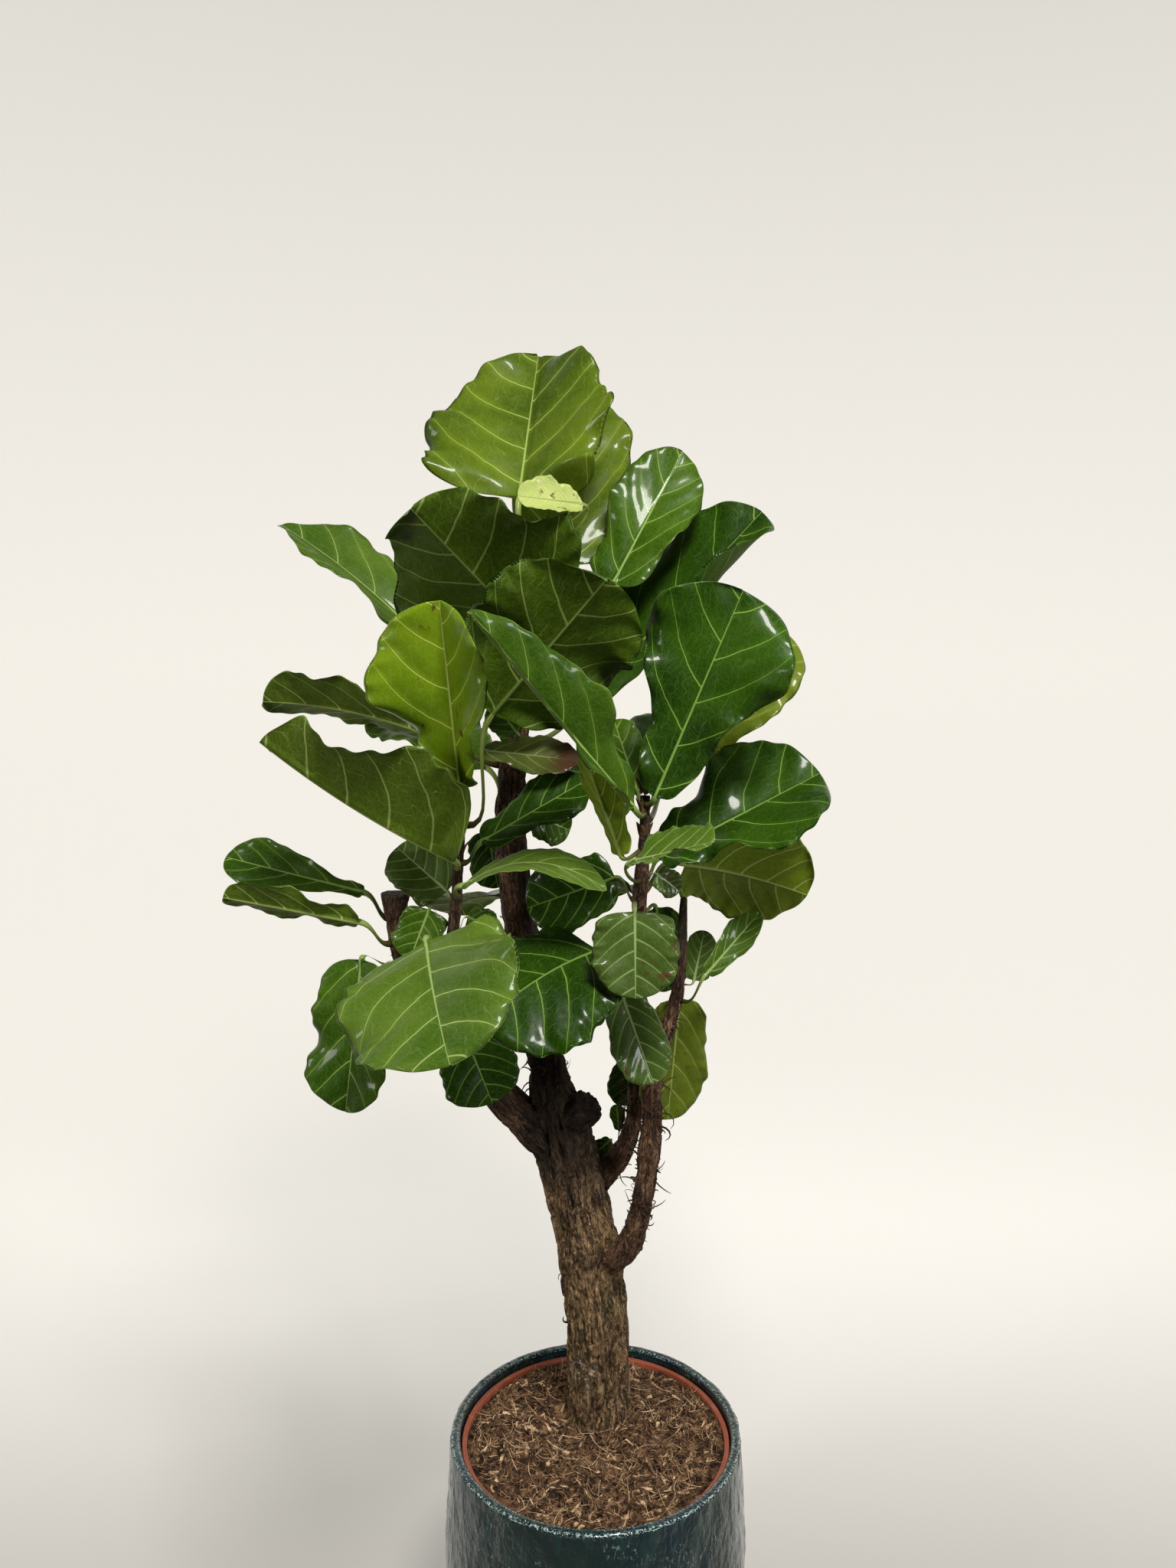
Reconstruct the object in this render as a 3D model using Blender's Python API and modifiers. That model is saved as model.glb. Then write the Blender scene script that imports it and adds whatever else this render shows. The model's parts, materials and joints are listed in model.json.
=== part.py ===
"""Potted fiddle leaf fig: a ceramic cover pot, the grower's pot in it, soil, one woody plant and its leaves.

Metres, +Z up. The origin is the centre of the pot's underside, and the front of the plant faces -Y.
"""
import bpy
import bmesh
import numpy as np
from mathutils import Vector

# ---------------------------------------------------------------- sizes

GAP = 0.0003                # between neighbouring pieces that touch

POT_HEIGHT = 0.350          # ceramic cover pot
POT_RIM_RADIUS = 0.1725     # outside of the rim
POT_BELLY = 0.007           # how far the belly stands out beyond the rim
POT_BASE_INSET = 0.0175     # how far the base is inside the rim
POT_WALL = 0.0125
POT_FLOOR = 0.014
POT_EDGE = 0.003            # rounding of the rim and the base
POT_STEPS = 48

NURSERY_SPACE = 0.0015      # between the cover pot's wall and the grower's pot
NURSERY_WALL = 0.002
NURSERY_LIP = 0.006         # width of the turned-out rim
NURSERY_LIP_DEPTH = 0.012
NURSERY_BELOW_RIM = 0.010   # from the cover pot's rim down to the grower's pot's rim
NURSERY_TAPER = 0.030       # how much narrower its base is
NURSERY_HOLES = 6
NURSERY_HOLE_RADIUS = 0.007

SOIL_BELOW_LIP = 0.006      # from the grower's pot's rim down to the soil's edge
SOIL_MOUND = 0.006          # how much higher the soil stands round the trunk
SOIL_STEPS = 32

TRUNK_RADIUS = 0.038        # where the trunk leaves the soil
TRUNK_BURIED = 0.060        # depth of the trunk's foot in the soil
TRUNK_X = 0.005             # the trunk stands this far to the right of the pot's axis
TRUNK_Y = 0.042             # and this far behind it

LEAF_THICKNESS = 0.0018
PETIOLE_RADIUS = 0.0032     # of the large leaves
PETIOLE_SHARE = 0.022       # a small leaf's petiole radius as a share of its length

BLADE_STATIONS = (0.06, 0.16, 0.28, 0.42, 0.56, 0.70, 0.82, 0.92, 0.98)
BLADE_ACROSS = (-1.0, -0.5, 0.0, 0.5, 1.0)
PETIOLE_STATIONS = (0.0, 0.35, 0.7)
RING_SIDES = 8              # points round every section of a leaf
BASE_ROUND = 0.14           # share of the blade's length in its rounded base
TIP_BLUNTNESS = 2.2         # 2 is an elliptical tip, and more is squarer

NURSERY_RIM_Z = POT_HEIGHT - NURSERY_BELOW_RIM
SOIL_EDGE_Z = NURSERY_RIM_Z - SOIL_BELOW_LIP
SOIL_TOP_Z = SOIL_EDGE_Z + SOIL_MOUND
PLANT_DATUM = 0.340         # height of the soil for which the heights of branches and leaves are given
PLANT_LIFT = SOIL_TOP_Z - PLANT_DATUM

# ---------------------------------------------------------------- the plant, in hand-chosen places

# each branch: points of its centre line (x, y, z) and its radius there
BRANCHES = {
    "leader": (
        (TRUNK_X, TRUNK_Y, PLANT_DATUM - TRUNK_BURIED, TRUNK_RADIUS),
        (TRUNK_X, TRUNK_Y, PLANT_DATUM + 0.005, TRUNK_RADIUS),
        (0.002, 0.033, 0.44, 0.037), (-0.007, 0.02, 0.55, 0.0365), (-0.020, 0.01, 0.63, 0.0355),
        (-0.038, 0.003, 0.715, 0.034), (-0.052, 0.002, 0.775, 0.0235), (-0.058, 0.0, 0.81, 0.020),
        (-0.085, 0.01, 0.955, 0.019), (-0.092, 0.01, 1.01, 0.0175), (-0.096, 0.01, 1.055, 0.0185),
        (-0.093, 0.01, 1.14, 0.0145), (-0.084, 0.01, 1.20, 0.012), (-0.070, 0.01, 1.285, 0.0075),
        (-0.056, 0.01, 1.39, 0.0045)),
    "knob": ((-0.045, 0.0, 0.725, 0.020), (-0.020, -0.012, 0.746, 0.0215), (-0.008, -0.019, 0.758, 0.0195)),
    "left_limb": (
        (-0.035, 0.0, 0.69, 0.024), (-0.075, -0.005, 0.728, 0.022), (-0.110, -0.01, 0.768, 0.0185),
        (-0.140, -0.02, 0.806, 0.015), (-0.186, -0.03, 0.872, 0.011), (-0.214, -0.03, 0.924, 0.0075),
        (-0.220, -0.03, 0.967, 0.0105), (-0.220, -0.03, 1.005, 0.0165)),
    "left_shoot": (
        (-0.155, -0.023, 0.828, 0.009), (-0.160, -0.045, 0.913, 0.0075), (-0.150, -0.06, 1.005, 0.0062),
        (-0.146, -0.06, 1.065, 0.0055), (-0.143, -0.06, 1.125, 0.004)),
    "right_front": (
        (0.000, 0.01, 0.545, 0.014), (0.025, -0.004, 0.568, 0.016), (0.042, -0.02, 0.60, 0.0145),
        (0.052, -0.03, 0.647, 0.0126), (0.058, -0.03, 0.69, 0.0132), (0.062, -0.03, 0.735, 0.0128),
        (0.063, -0.03, 0.78, 0.0112), (0.071, -0.03, 0.827, 0.010), (0.088, -0.03, 0.88, 0.0085),
        (0.094, -0.03, 0.94, 0.006), (0.096, -0.03, 1.0, 0.0045)),
    "right_back": (
        (-0.020, 0.005, 0.63, 0.018), (0.000, 0.012, 0.652, 0.0165), (0.023, 0.02, 0.672, 0.0135),
        (0.042, 0.03, 0.707, 0.0108), (0.046, 0.03, 0.75, 0.009), (0.044, 0.02, 0.80, 0.0085),
        (0.045, -0.02, 0.905, 0.008), (0.046, -0.06, 0.995, 0.0078), (0.048, -0.07, 1.037, 0.0072),
        (0.050, -0.08, 1.085, 0.006), (0.050, -0.08, 1.12, 0.0045)),
}
BRANCH_SIDES = {"leader": 4, "left_limb": 3}    # bevel resolution, 2 for the others
SPAN_POINTS = 3                                 # steps between two points of a centre line


def leaf(name, branch, height, base, tip, face, width, waist=0.6, widest=0.62, arch=0.0, twist=0.0,
         fold=(0.15, 0.15), curl=(0.0, 0.0), wave=0.0, rounding=BASE_ROUND, blunt=TIP_BLUNTNESS):
    """One leaf's description.

    The petiole springs from the branch at the given height and ends at base, where the blade begins.
    face is the way the blade's top side looks. waist is the width near the base as a share of the
    full width, and widest is how far along the blade that full width is reached. arch
    raises the middle of the midrib by that share of the length. fold lifts the left and right
    halves, in radians, and curl bends each half further up towards its edge. twist turns the blade
    about its midrib from base to tip. wave is the height of the margin's waves as a share of the width.
    rounding is the share of the length in the rounded base, and a lower blunt makes a more pointed tip.
    """
    return dict(name=name, branch=branch, height=height, base=base, tip=tip, face=face, width=width,
                waist=waist, widest=widest, arch=arch, twist=twist, fold=fold, curl=curl, wave=wave,
                rounding=rounding, blunt=blunt)


LEAVES = (
    # the crown on the leader
    leaf("leaf_crown_top", "leader", 1.375, (-0.085, 0.03, 1.435), (-0.068, 0.15, 1.612), (0, -0.8, 0.6),
         0.235, waist=0.9, widest=0.40, fold=(0.05, 0.65), wave=0.04, blunt=1.35),
    leaf("leaf_crown_behind", "leader", 1.33, (-0.030, 0.075, 1.365), (-0.034, 0.18, 1.58), (0.1, -0.9, 0.4),
         0.15, waist=0.85, wave=0.03),
    leaf("leaf_crown_young", "leader", 1.385, (-0.015, 0.00, 1.425), (-0.083, -0.03, 1.43), (0, -0.85, 0.5),
         0.054, waist=0.75, widest=0.5, curl=(0.7, 0.7), rounding=0.35),
    leaf("leaf_crown_front_left", "leader", 1.25, (-0.062, -0.03, 1.28), (-0.182, -0.12, 1.408),
         (0.3, 0.7, 0.6), 0.22, waist=0.8, widest=0.45, fold=(0.3, 0.1), wave=0.03, blunt=1.7),
    leaf("leaf_crown_upper_right", "leader", 1.28, (0.018, 0.035, 1.34), (0.100, 0.10, 1.495),
         (-0.3, -0.9, 0.3), 0.10, waist=0.75, twist=-0.6, wave=0.03, blunt=1.7),
    leaf("leaf_crown_right_shaded", "leader", 1.27, (0.012, 0.12, 1.315), (0.075, 0.155, 1.415),
         (-0.2, -0.9, 0.3), 0.10),
    leaf("leaf_crown_right_long", "leader", 1.17, (-0.020, 0.05, 1.20), (0.190, 0.08, 1.425),
         (-0.5, -0.8, 0.4), 0.18, waist=0.6, fold=(0.1, 0.0), curl=(0.0, 1.9), wave=0.02, blunt=1.5),
    leaf("leaf_crown_far_left", "leader", 1.20, (-0.170, 0.04, 1.25), (-0.361, 0.08, 1.41),
         (0.3, -0.5, 0.8), 0.12, fold=(0.5, 0.3), arch=0.05, wave=0.03, blunt=1.5),
    leaf("leaf_crown_left_low", "leader", 1.14, (-0.190, 0.03, 1.175), (-0.380, 0.05, 1.21),
         (0, 0.6, 0.8), 0.10, fold=(0.3, 0.3), arch=0.05, wave=0.03),
    leaf("leaf_leader_brown_tip", "leader", 1.155, (-0.122, -0.035, 1.162), (-0.018, -0.045, 1.152),
         (0, -0.6, 0.8), 0.06, blunt=1.6),
    leaf("leaf_leader_small", "leader", 1.18, (-0.085, -0.03, 1.18), (-0.110, -0.045, 1.215),
         (0, -1, 0.2), 0.04, waist=0.9),
    leaf("leaf_leader_left_behind", "leader", 1.055, (-0.125, 0.05, 1.06), (-0.115, 0.065, 0.99),
         (0, -1, 0.1), 0.055, waist=0.9),
    leaf("leaf_leader_right_behind", "leader", 1.08, (-0.070, 0.04, 1.08), (-0.030, 0.055, 1.06),
         (0, -1, 0.3), 0.05, waist=0.9),
    # the left shoot
    leaf("leaf_left_shoot_dark", "left_shoot", 1.085, (-0.108, -0.075, 1.205), (0.010, -0.14, 1.34),
         (-0.2, 0.9, 0.3), 0.175, waist=0.8, widest=0.55, wave=0.05),
    leaf("leaf_left_shoot_upright", "left_shoot", 1.115, (-0.138, -0.12, 1.132), (-0.152, -0.15, 1.318),
         (-0.2, -1, 0.2), 0.160, waist=0.50, widest=0.55, fold=(0.1, 0.85), wave=0.03, rounding=0.28),
    leaf("leaf_left_shoot_large", "left_shoot", 1.04, (-0.148, -0.10, 1.055), (-0.335, -0.13, 1.18),
         (0.3, 0.3, 0.9), 0.205, waist=0.82, widest=0.38, fold=(0.8, 0.4), arch=-0.03, wave=0.02, blunt=1.05),
    leaf("leaf_left_shoot_inner", "left_shoot", 1.045, (-0.120, -0.075, 1.07), (-0.005, -0.05, 1.135),
         (-0.3, -0.6, 0.6), 0.07),
    leaf("leaf_left_shoot_arching", "left_shoot", 1.01, (-0.135, -0.11, 1.03), (0.010, -0.13, 1.03),
         (0, -0.35, 1), 0.05, arch=0.2, fold=(0.2, 0.2)),
    leaf("leaf_left_shoot_spotted", "left_shoot", 0.99, (-0.163, -0.035, 1.008), (-0.222, 0.0, 1.05),
         (0, -0.8, 0.5), 0.07, waist=0.9),
    leaf("leaf_left_shoot_hanging", "left_shoot", 0.975, (-0.180, -0.055, 0.992), (-0.200, -0.065, 0.94),
         (0, -1, 0.2), 0.054, waist=0.9),
    leaf("leaf_left_shoot_small", "left_shoot", 0.965, (-0.140, -0.04, 0.98), (-0.110, -0.03, 0.965),
         (0, -0.9, 0.3), 0.032, waist=0.9),
    leaf("leaf_left_shoot_front", "left_shoot", 0.95, (-0.170, -0.15, 0.98), (-0.128, -0.32, 0.918),
         (-0.35, -0.45, 0.8), 0.18, waist=0.85, widest=0.5, arch=0.04, wave=0.02),
    # the left limb
    leaf("leaf_limb_upper", "left_limb", 0.975, (-0.260, -0.005, 1.00), (-0.420, 0.02, 1.035),
         (0.2, -0.8, 0.5), 0.062, waist=0.3, widest=0.7, fold=(0.3, 0.3), wave=0.06),
    leaf("leaf_limb_lower", "left_limb", 0.95, (-0.255, -0.06, 0.98), (-0.395, -0.075, 1.01),
         (0.2, 0.7, 0.6), 0.06, fold=(0.3, 0.3), wave=0.05),
    leaf("leaf_limb_drooping", "left_limb", 0.925, (-0.255, -0.05, 0.935), (-0.270, -0.08, 0.775),
         (-0.5, -0.8, 0), 0.105, waist=0.8, fold=(0.2, 0.4), wave=0.03),
    leaf("leaf_limb_under", "left_limb", 0.83, (-0.145, -0.06, 0.86), (-0.112, -0.08, 0.785),
         (0.2, -1, 0.1), 0.085, waist=0.8),
    # the back right branch and its shoot
    leaf("leaf_right_shoot_large", "right_back", 1.11, (0.060, -0.095, 1.12), (0.148, -0.09, 1.33),
         (-0.1, -1, 0.25), 0.160, waist=0.45, widest=0.70, fold=(0.25, 0.15), wave=0.05, rounding=0.30),
    leaf("leaf_right_shoot_long_front", "right_back", 1.10, (0.035, -0.13, 1.115), (-0.115, -0.24, 1.305),
         (0.5, -0.7, 0.5), 0.100, waist=0.65, widest=0.45, blunt=1.3, fold=(0.8, 0.6), wave=0.04, rounding=0.22),
    leaf("leaf_right_shoot_behind", "right_back", 1.09, (0.095, 0.035, 1.145), (0.220, 0.08, 1.288),
         (-0.3, -0.8, 0.3), 0.12, wave=0.03),
    leaf("leaf_right_shoot_blue", "right_back", 1.075, (0.045, -0.035, 1.115), (0.020, 0.03, 1.19),
         (0.1, -0.9, 0.4), 0.05, waist=0.8),
    leaf("leaf_right_shoot_wide", "right_back", 1.03, (0.067, -0.06, 1.05), (0.240, -0.04, 1.138),
         (-0.3, -0.75, 0.6), 0.175, waist=0.50, widest=0.62, fold=(0.05, 0.5), wave=0.04, rounding=0.28),
    leaf("leaf_right_shoot_curled", "right_back", 1.03, (0.037, -0.13, 1.06), (0.112, -0.18, 1.088),
         (-0.1, -0.3, 0.9), 0.07, waist=0.9, curl=(0.6, 0.4)),
    leaf("leaf_right_shoot_crescent", "right_back", 1.06, (0.025, -0.10, 1.06), (-0.015, -0.13, 1.175),
         (0.5, 0.8, 0.2), 0.05, fold=(0.5, 0.5)),
    leaf("leaf_right_shoot_olive", "right_back", 1.01, (0.103, 0.03, 1.025), (0.250, 0.07, 0.98),
         (0.1, 0.9, 0.4), 0.14, waist=0.7, widest=0.58, arch=0.05),
    leaf("leaf_right_shoot_stub", "right_back", 1.02, (0.065, -0.05, 1.03), (0.090, -0.045, 1.01),
         (0.2, -0.9, 0.3), 0.03, waist=0.9),
    leaf("leaf_right_shoot_inner", "right_back", 1.00, (0.020, -0.045, 1.025), (-0.075, -0.04, 0.99),
         (0, -0.9, 0.4), 0.08, waist=0.8),
    leaf("leaf_right_shoot_round", "right_back", 0.99, (0.038, -0.14, 1.01), (0.038, -0.165, 0.928),
         (0, -1, 0.3), 0.088, waist=0.9, widest=0.5),
    leaf("leaf_right_shoot_dark", "right_back", 0.98, (0.066, -0.02, 0.985), (0.083, 0.01, 0.882),
         (0.2, -1, 0), 0.06, waist=0.8),
    leaf("leaf_right_back_glossy", "right_back", 0.93, (0.000, -0.095, 0.957), (-0.115, -0.185, 0.908),
         (-0.1, -0.6, 0.8), 0.165, waist=0.8, widest=0.55, arch=0.08, fold=(-0.1, -0.1)),
    leaf("leaf_right_back_hanging", "right_back", 0.90, (0.027, -0.08, 0.905), (0.060, -0.10, 0.815),
         (0.2, -1, 0.2), 0.062, waist=0.8),
    leaf("leaf_right_back_small", "right_back", 0.79, (0.050, 0.05, 0.80), (0.035, 0.07, 0.72),
         (0, -1, 0), 0.052, waist=0.8),
    leaf("leaf_right_back_bud", "right_back", 0.69, (0.028, 0.045, 0.70), (0.025, 0.05, 0.73),
         (0, -1, 0.1), 0.018),
    leaf("leaf_right_back_tiny", "right_back", 0.675, (0.018, 0.045, 0.688), (-0.008, 0.04, 0.666),
         (0, -1, 0.3), 0.027),
    # the front right branch
    leaf("leaf_right_front_twisted", "right_front", 0.885, (0.120, -0.05, 0.92), (0.181, -0.02, 0.98),
         (0.4, -0.7, 0.5), 0.036, twist=1.0, fold=(0.3, 0.3)),
    leaf("leaf_right_front_spotted", "right_front", 0.90, (0.110, -0.01, 0.90), (0.122, 0.00, 0.955),
         (0.1, -1, 0), 0.035, waist=0.9),
    leaf("leaf_right_front_hanging", "right_front", 0.87, (0.095, 0.00, 0.875), (0.084, 0.02, 0.724),
         (0.2, -0.9, 0.1), 0.08, waist=0.8),
    # the back of the plant
    leaf("leaf_back_upper", "leader", 1.22, (-0.065, 0.09, 1.25), (-0.120, 0.25, 1.36), (0, -0.5, 0.85),
         0.17, waist=0.7, wave=0.03),
    leaf("leaf_back_left", "leader", 1.10, (-0.130, 0.09, 1.13), (-0.260, 0.20, 1.20), (0.2, -0.4, 0.9),
         0.15, wave=0.03),
    leaf("leaf_back_right", "leader", 1.10, (-0.020, 0.09, 1.12), (0.120, 0.22, 1.17), (-0.2, -0.4, 0.9),
         0.15, wave=0.03),
    leaf("leaf_back_low_left", "leader", 0.97, (-0.110, 0.07, 0.98), (-0.190, 0.19, 0.93), (-0.1, 0.3, 0.9),
         0.13, arch=0.05, wave=0.03),
    leaf("leaf_back_low_right", "leader", 0.98, (-0.045, 0.08, 0.99), (0.020, 0.20, 0.95), (0.1, 0.3, 0.9),
         0.13, arch=0.05, wave=0.03),
    leaf("leaf_back_branch", "right_back", 0.86, (0.060, 0.05, 0.88), (0.110, 0.15, 0.86), (0.1, 0.2, 0.9),
         0.09, arch=0.05),
)

# ---------------------------------------------------------------- vector helpers


def unit(v):
    """The vector made one metre long."""
    v = np.asarray(v, float)
    return v / np.linalg.norm(v)


def across(v, axis):
    """The part of v at right angles to the axis, made one metre long."""
    return unit(np.asarray(v, float) - np.dot(v, axis) * axis)


def smoothstep(t):
    """0 below 0, 1 above 1 and a smooth rise between: 3t^2 - 2t^3."""
    t = np.clip(t, 0.0, 1.0)
    return t * t * (3.0 - 2.0 * t)


# ---------------------------------------------------------------- scene helpers


def clear_scene():
    for old in list(bpy.data.objects):
        bpy.data.objects.remove(old, do_unlink=True)


def new_collection(name):
    collection = bpy.data.collections.new(name)
    bpy.context.scene.collection.children.link(collection)
    return collection


def material(name, colour, roughness, metallic=0.0):
    mat = bpy.data.materials.new(name)
    mat.use_nodes = True
    shader = mat.node_tree.nodes["Principled BSDF"]
    shader.inputs["Base Color"].default_value = (*colour, 1.0)
    shader.inputs["Roughness"].default_value = roughness
    shader.inputs["Metallic"].default_value = metallic
    mat.diffuse_color = (*colour, 1.0)
    return mat


def add_object(name, data, collection, mat=None):
    obj = bpy.data.objects.new(name, data)
    collection.objects.link(obj)
    if mat is not None:
        obj.data.materials.append(mat)
    return obj


def turned(name, profile, steps, collection, mat):
    """A profile in the X-Z plane, turned about Z. Its outer side runs from top to bottom."""
    mesh = bpy.data.meshes.new(name)
    verts = [(radius, 0.0, z) for radius, z in profile]
    edges = [(i, i + 1) for i in range(len(verts) - 1)]
    mesh.from_pydata(verts, edges, [])
    obj = add_object(name, mesh, collection, mat)
    screw = obj.modifiers.new("turn", "SCREW")
    screw.axis = "Z"
    screw.steps = steps
    screw.render_steps = steps
    screw.use_merge_vertices = True
    screw.merge_threshold = 0.0001
    screw.use_smooth_shade = True
    return obj


def cut(obj, cutter):
    boolean = obj.modifiers.new("cut", "BOOLEAN")
    boolean.operation = "DIFFERENCE"
    boolean.solver = "EXACT"
    boolean.object = cutter


def cylinder_cutter(name, radius, z0, z1, x, y, steps, collection):
    mesh = bpy.data.meshes.new(name)
    bm = bmesh.new()
    bmesh.ops.create_cone(bm, cap_ends=True, segments=steps, radius1=radius, radius2=radius, depth=z1 - z0)
    bm.to_mesh(mesh)
    bm.free()
    obj = add_object(name, mesh, collection)
    obj.location = (x, y, (z0 + z1) / 2.0)
    obj.hide_render = True
    obj.display_type = "WIRE"
    return obj


# ---------------------------------------------------------------- pot, grower's pot and soil


def make_ceramic_pot(collection):
    inner = POT_RIM_RADIUS - POT_WALL
    belly = POT_RIM_RADIUS + POT_BELLY
    base = POT_RIM_RADIUS - POT_BASE_INSET
    profile = (
        (0.0, POT_FLOOR), (base - POT_WALL, POT_FLOOR),
        (belly - POT_WALL, POT_HEIGHT * 0.45), (inner, POT_HEIGHT * 0.9), (inner, POT_HEIGHT - POT_EDGE),
        (inner + POT_EDGE, POT_HEIGHT), (POT_RIM_RADIUS - POT_EDGE, POT_HEIGHT),
        (POT_RIM_RADIUS, POT_HEIGHT - POT_EDGE), (POT_RIM_RADIUS + POT_BELLY * 0.5, POT_HEIGHT * 0.8),
        (belly, POT_HEIGHT * 0.57), (belly - POT_BASE_INSET * 0.15, POT_HEIGHT * 0.32),
        (belly - POT_BASE_INSET * 0.6, POT_HEIGHT * 0.12), (base, POT_EDGE * 2.0),
        (base - POT_EDGE, 0.0), (0.0, 0.0))
    glaze = material("glazed_ceramic", (0.012, 0.09, 0.10), 0.15)
    return turned("ceramic_pot", profile, POT_STEPS, collection, glaze)


def nursery_radii():
    """Radius of the grower's pot's rim, and outer radii of its wall at the lip and at the base."""
    rim = POT_RIM_RADIUS - POT_WALL - NURSERY_SPACE
    top = rim - NURSERY_LIP + NURSERY_WALL
    return rim, top, top - NURSERY_TAPER


def make_nursery_pot(collection, cutters):
    rim, top, base = nursery_radii()
    floor = POT_FLOOR + GAP
    lip = NURSERY_RIM_Z - NURSERY_LIP_DEPTH
    profile = (
        (0.0, floor + NURSERY_WALL), (base - NURSERY_WALL, floor + NURSERY_WALL),
        (top - NURSERY_WALL, lip), (top - NURSERY_WALL, NURSERY_RIM_Z - NURSERY_WALL * 0.5),
        (top - NURSERY_WALL * 0.5, NURSERY_RIM_Z), (rim - NURSERY_WALL * 0.5, NURSERY_RIM_Z),
        (rim, NURSERY_RIM_Z - NURSERY_WALL * 0.5), (rim, lip), (rim - NURSERY_WALL, lip),
        (rim - NURSERY_WALL, NURSERY_RIM_Z - NURSERY_WALL), (top, NURSERY_RIM_Z - NURSERY_WALL),
        (top, lip), (base, floor), (0.0, floor))
    plastic = material("terracotta_plastic", (0.42, 0.10, 0.045), 0.45)
    pot = turned("nursery_pot", profile, POT_STEPS, collection, plastic)
    for k in range(NURSERY_HOLES):
        turn = 2.0 * np.pi * (k + 0.46) / NURSERY_HOLES
        ring = base * 0.62
        cut(pot, cylinder_cutter("drain_cutter_%d" % k, NURSERY_HOLE_RADIUS, floor - NURSERY_WALL,
                                 floor + NURSERY_WALL * 2.0, ring * np.cos(turn), ring * np.sin(turn),
                                 12, cutters))
    return pot


def make_soil(collection, cutters):
    rim, top, base = nursery_radii()
    bottom = POT_FLOOR + GAP + NURSERY_WALL + GAP
    lip = NURSERY_RIM_Z - NURSERY_LIP_DEPTH
    edge = top - NURSERY_WALL - GAP * 2.0
    foot = base - NURSERY_WALL - GAP * 2.0
    share = (SOIL_EDGE_Z - bottom) / (lip - bottom)
    edge_at_soil = foot + (edge - foot) * min(1.0, share)
    profile = (
        (0.0, SOIL_TOP_Z), (TRUNK_RADIUS * 1.6, SOIL_TOP_Z),
        (edge_at_soil * 0.62, SOIL_EDGE_Z + SOIL_MOUND * 0.55),
        (edge_at_soil * 0.85, SOIL_EDGE_Z + SOIL_MOUND * 0.3),
        (edge_at_soil, SOIL_EDGE_Z), (foot, bottom), (0.0, bottom))
    earth = material("potting_soil", (0.09, 0.05, 0.03), 0.95)
    soil = turned("soil", profile, SOIL_STEPS, collection, earth)
    socket = cylinder_cutter("trunk_socket_cutter", TRUNK_RADIUS + GAP * 2.0,
                             SOIL_TOP_Z - TRUNK_BURIED - GAP, SOIL_TOP_Z + SOIL_MOUND,
                             TRUNK_X, TRUNK_Y, 24, cutters)
    cut(soil, socket)
    return soil


# ---------------------------------------------------------------- wood


def centre_line(name):
    """A Catmull-Rom curve through a branch's points, with its radius as a fourth column."""
    points = np.array(BRANCHES[name], float)
    points[:, 2] += PLANT_LIFT
    ends = np.vstack((2.0 * points[0] - points[1], points, 2.0 * points[-1] - points[-2]))
    rows = []
    for i in range(len(points) - 1):
        p0, p1, p2, p3 = ends[i:i + 4]
        for t in np.arange(SPAN_POINTS) / SPAN_POINTS:
            rows.append(0.5 * (2.0 * p1 + (p2 - p0) * t + (2.0 * p0 - 5.0 * p1 + 4.0 * p2 - p3) * t ** 2
                               + (3.0 * p1 - p0 - 3.0 * p2 + p3) * t ** 3))
    rows.append(points[-1])
    return np.array(rows)


def branch_at(name, height):
    """Centre, direction and radius of a branch at a height above the ground."""
    line = centre_line(name)
    height += PLANT_LIFT
    i = int(np.clip(np.searchsorted(line[:, 2], height) - 1, 0, len(line) - 2))
    t = (height - line[i, 2]) / (line[i + 1, 2] - line[i, 2])
    here = line[i] + (line[i + 1] - line[i]) * t
    return here[:3], unit(line[i + 1, :3] - line[i, :3]), max(line[i, 3], line[i + 1, 3])


def branch_mesh(name, collection):
    """A bevelled curve along the branch, made a closed mesh."""
    line = centre_line(name)
    if name == "leader":
        line = np.delete(line, (1, 2), axis=0)      # the buried foot stays straight
    curve = bpy.data.curves.new(name, "CURVE")
    curve.dimensions = "3D"
    curve.bevel_depth = 1.0
    curve.bevel_resolution = BRANCH_SIDES.get(name, 2)
    curve.use_fill_caps = True
    spline = curve.splines.new("POLY")
    spline.points.add(len(line) - 1)
    for point, (x, y, z, radius) in zip(spline.points, line):
        point.co = (x, y, z, 1.0)
        point.radius = radius
    source = add_object(name + "_curve", curve, collection)
    bpy.context.view_layer.update()
    shape = source.evaluated_get(bpy.context.evaluated_depsgraph_get())
    mesh = bpy.data.meshes.new_from_object(shape)
    bpy.data.objects.remove(source, do_unlink=True)
    bm = bmesh.new()
    bm.from_mesh(mesh)
    bmesh.ops.remove_doubles(bm, verts=bm.verts, dist=0.00001)
    bmesh.ops.recalc_face_normals(bm, faces=bm.faces)
    bm.to_mesh(mesh)
    bm.free()
    return mesh


def make_wood(collection, cutters):
    """The trunk with its leader, and every branch joined to it: all one growth."""
    bark = material("bark", (0.13, 0.08, 0.055), 0.85)
    wood = add_object("wood", branch_mesh("leader", collection), collection, bark)
    for name in BRANCHES:
        if name == "leader":
            continue
        other = add_object(name + "_joined", branch_mesh(name, collection), cutters)
        other.hide_render = True
        other.display_type = "WIRE"
        join = wood.modifiers.new("join_" + name, "BOOLEAN")
        join.operation = "UNION"
        join.solver = "EXACT"
        join.object = other
    return wood


# ---------------------------------------------------------------- leaves


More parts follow.
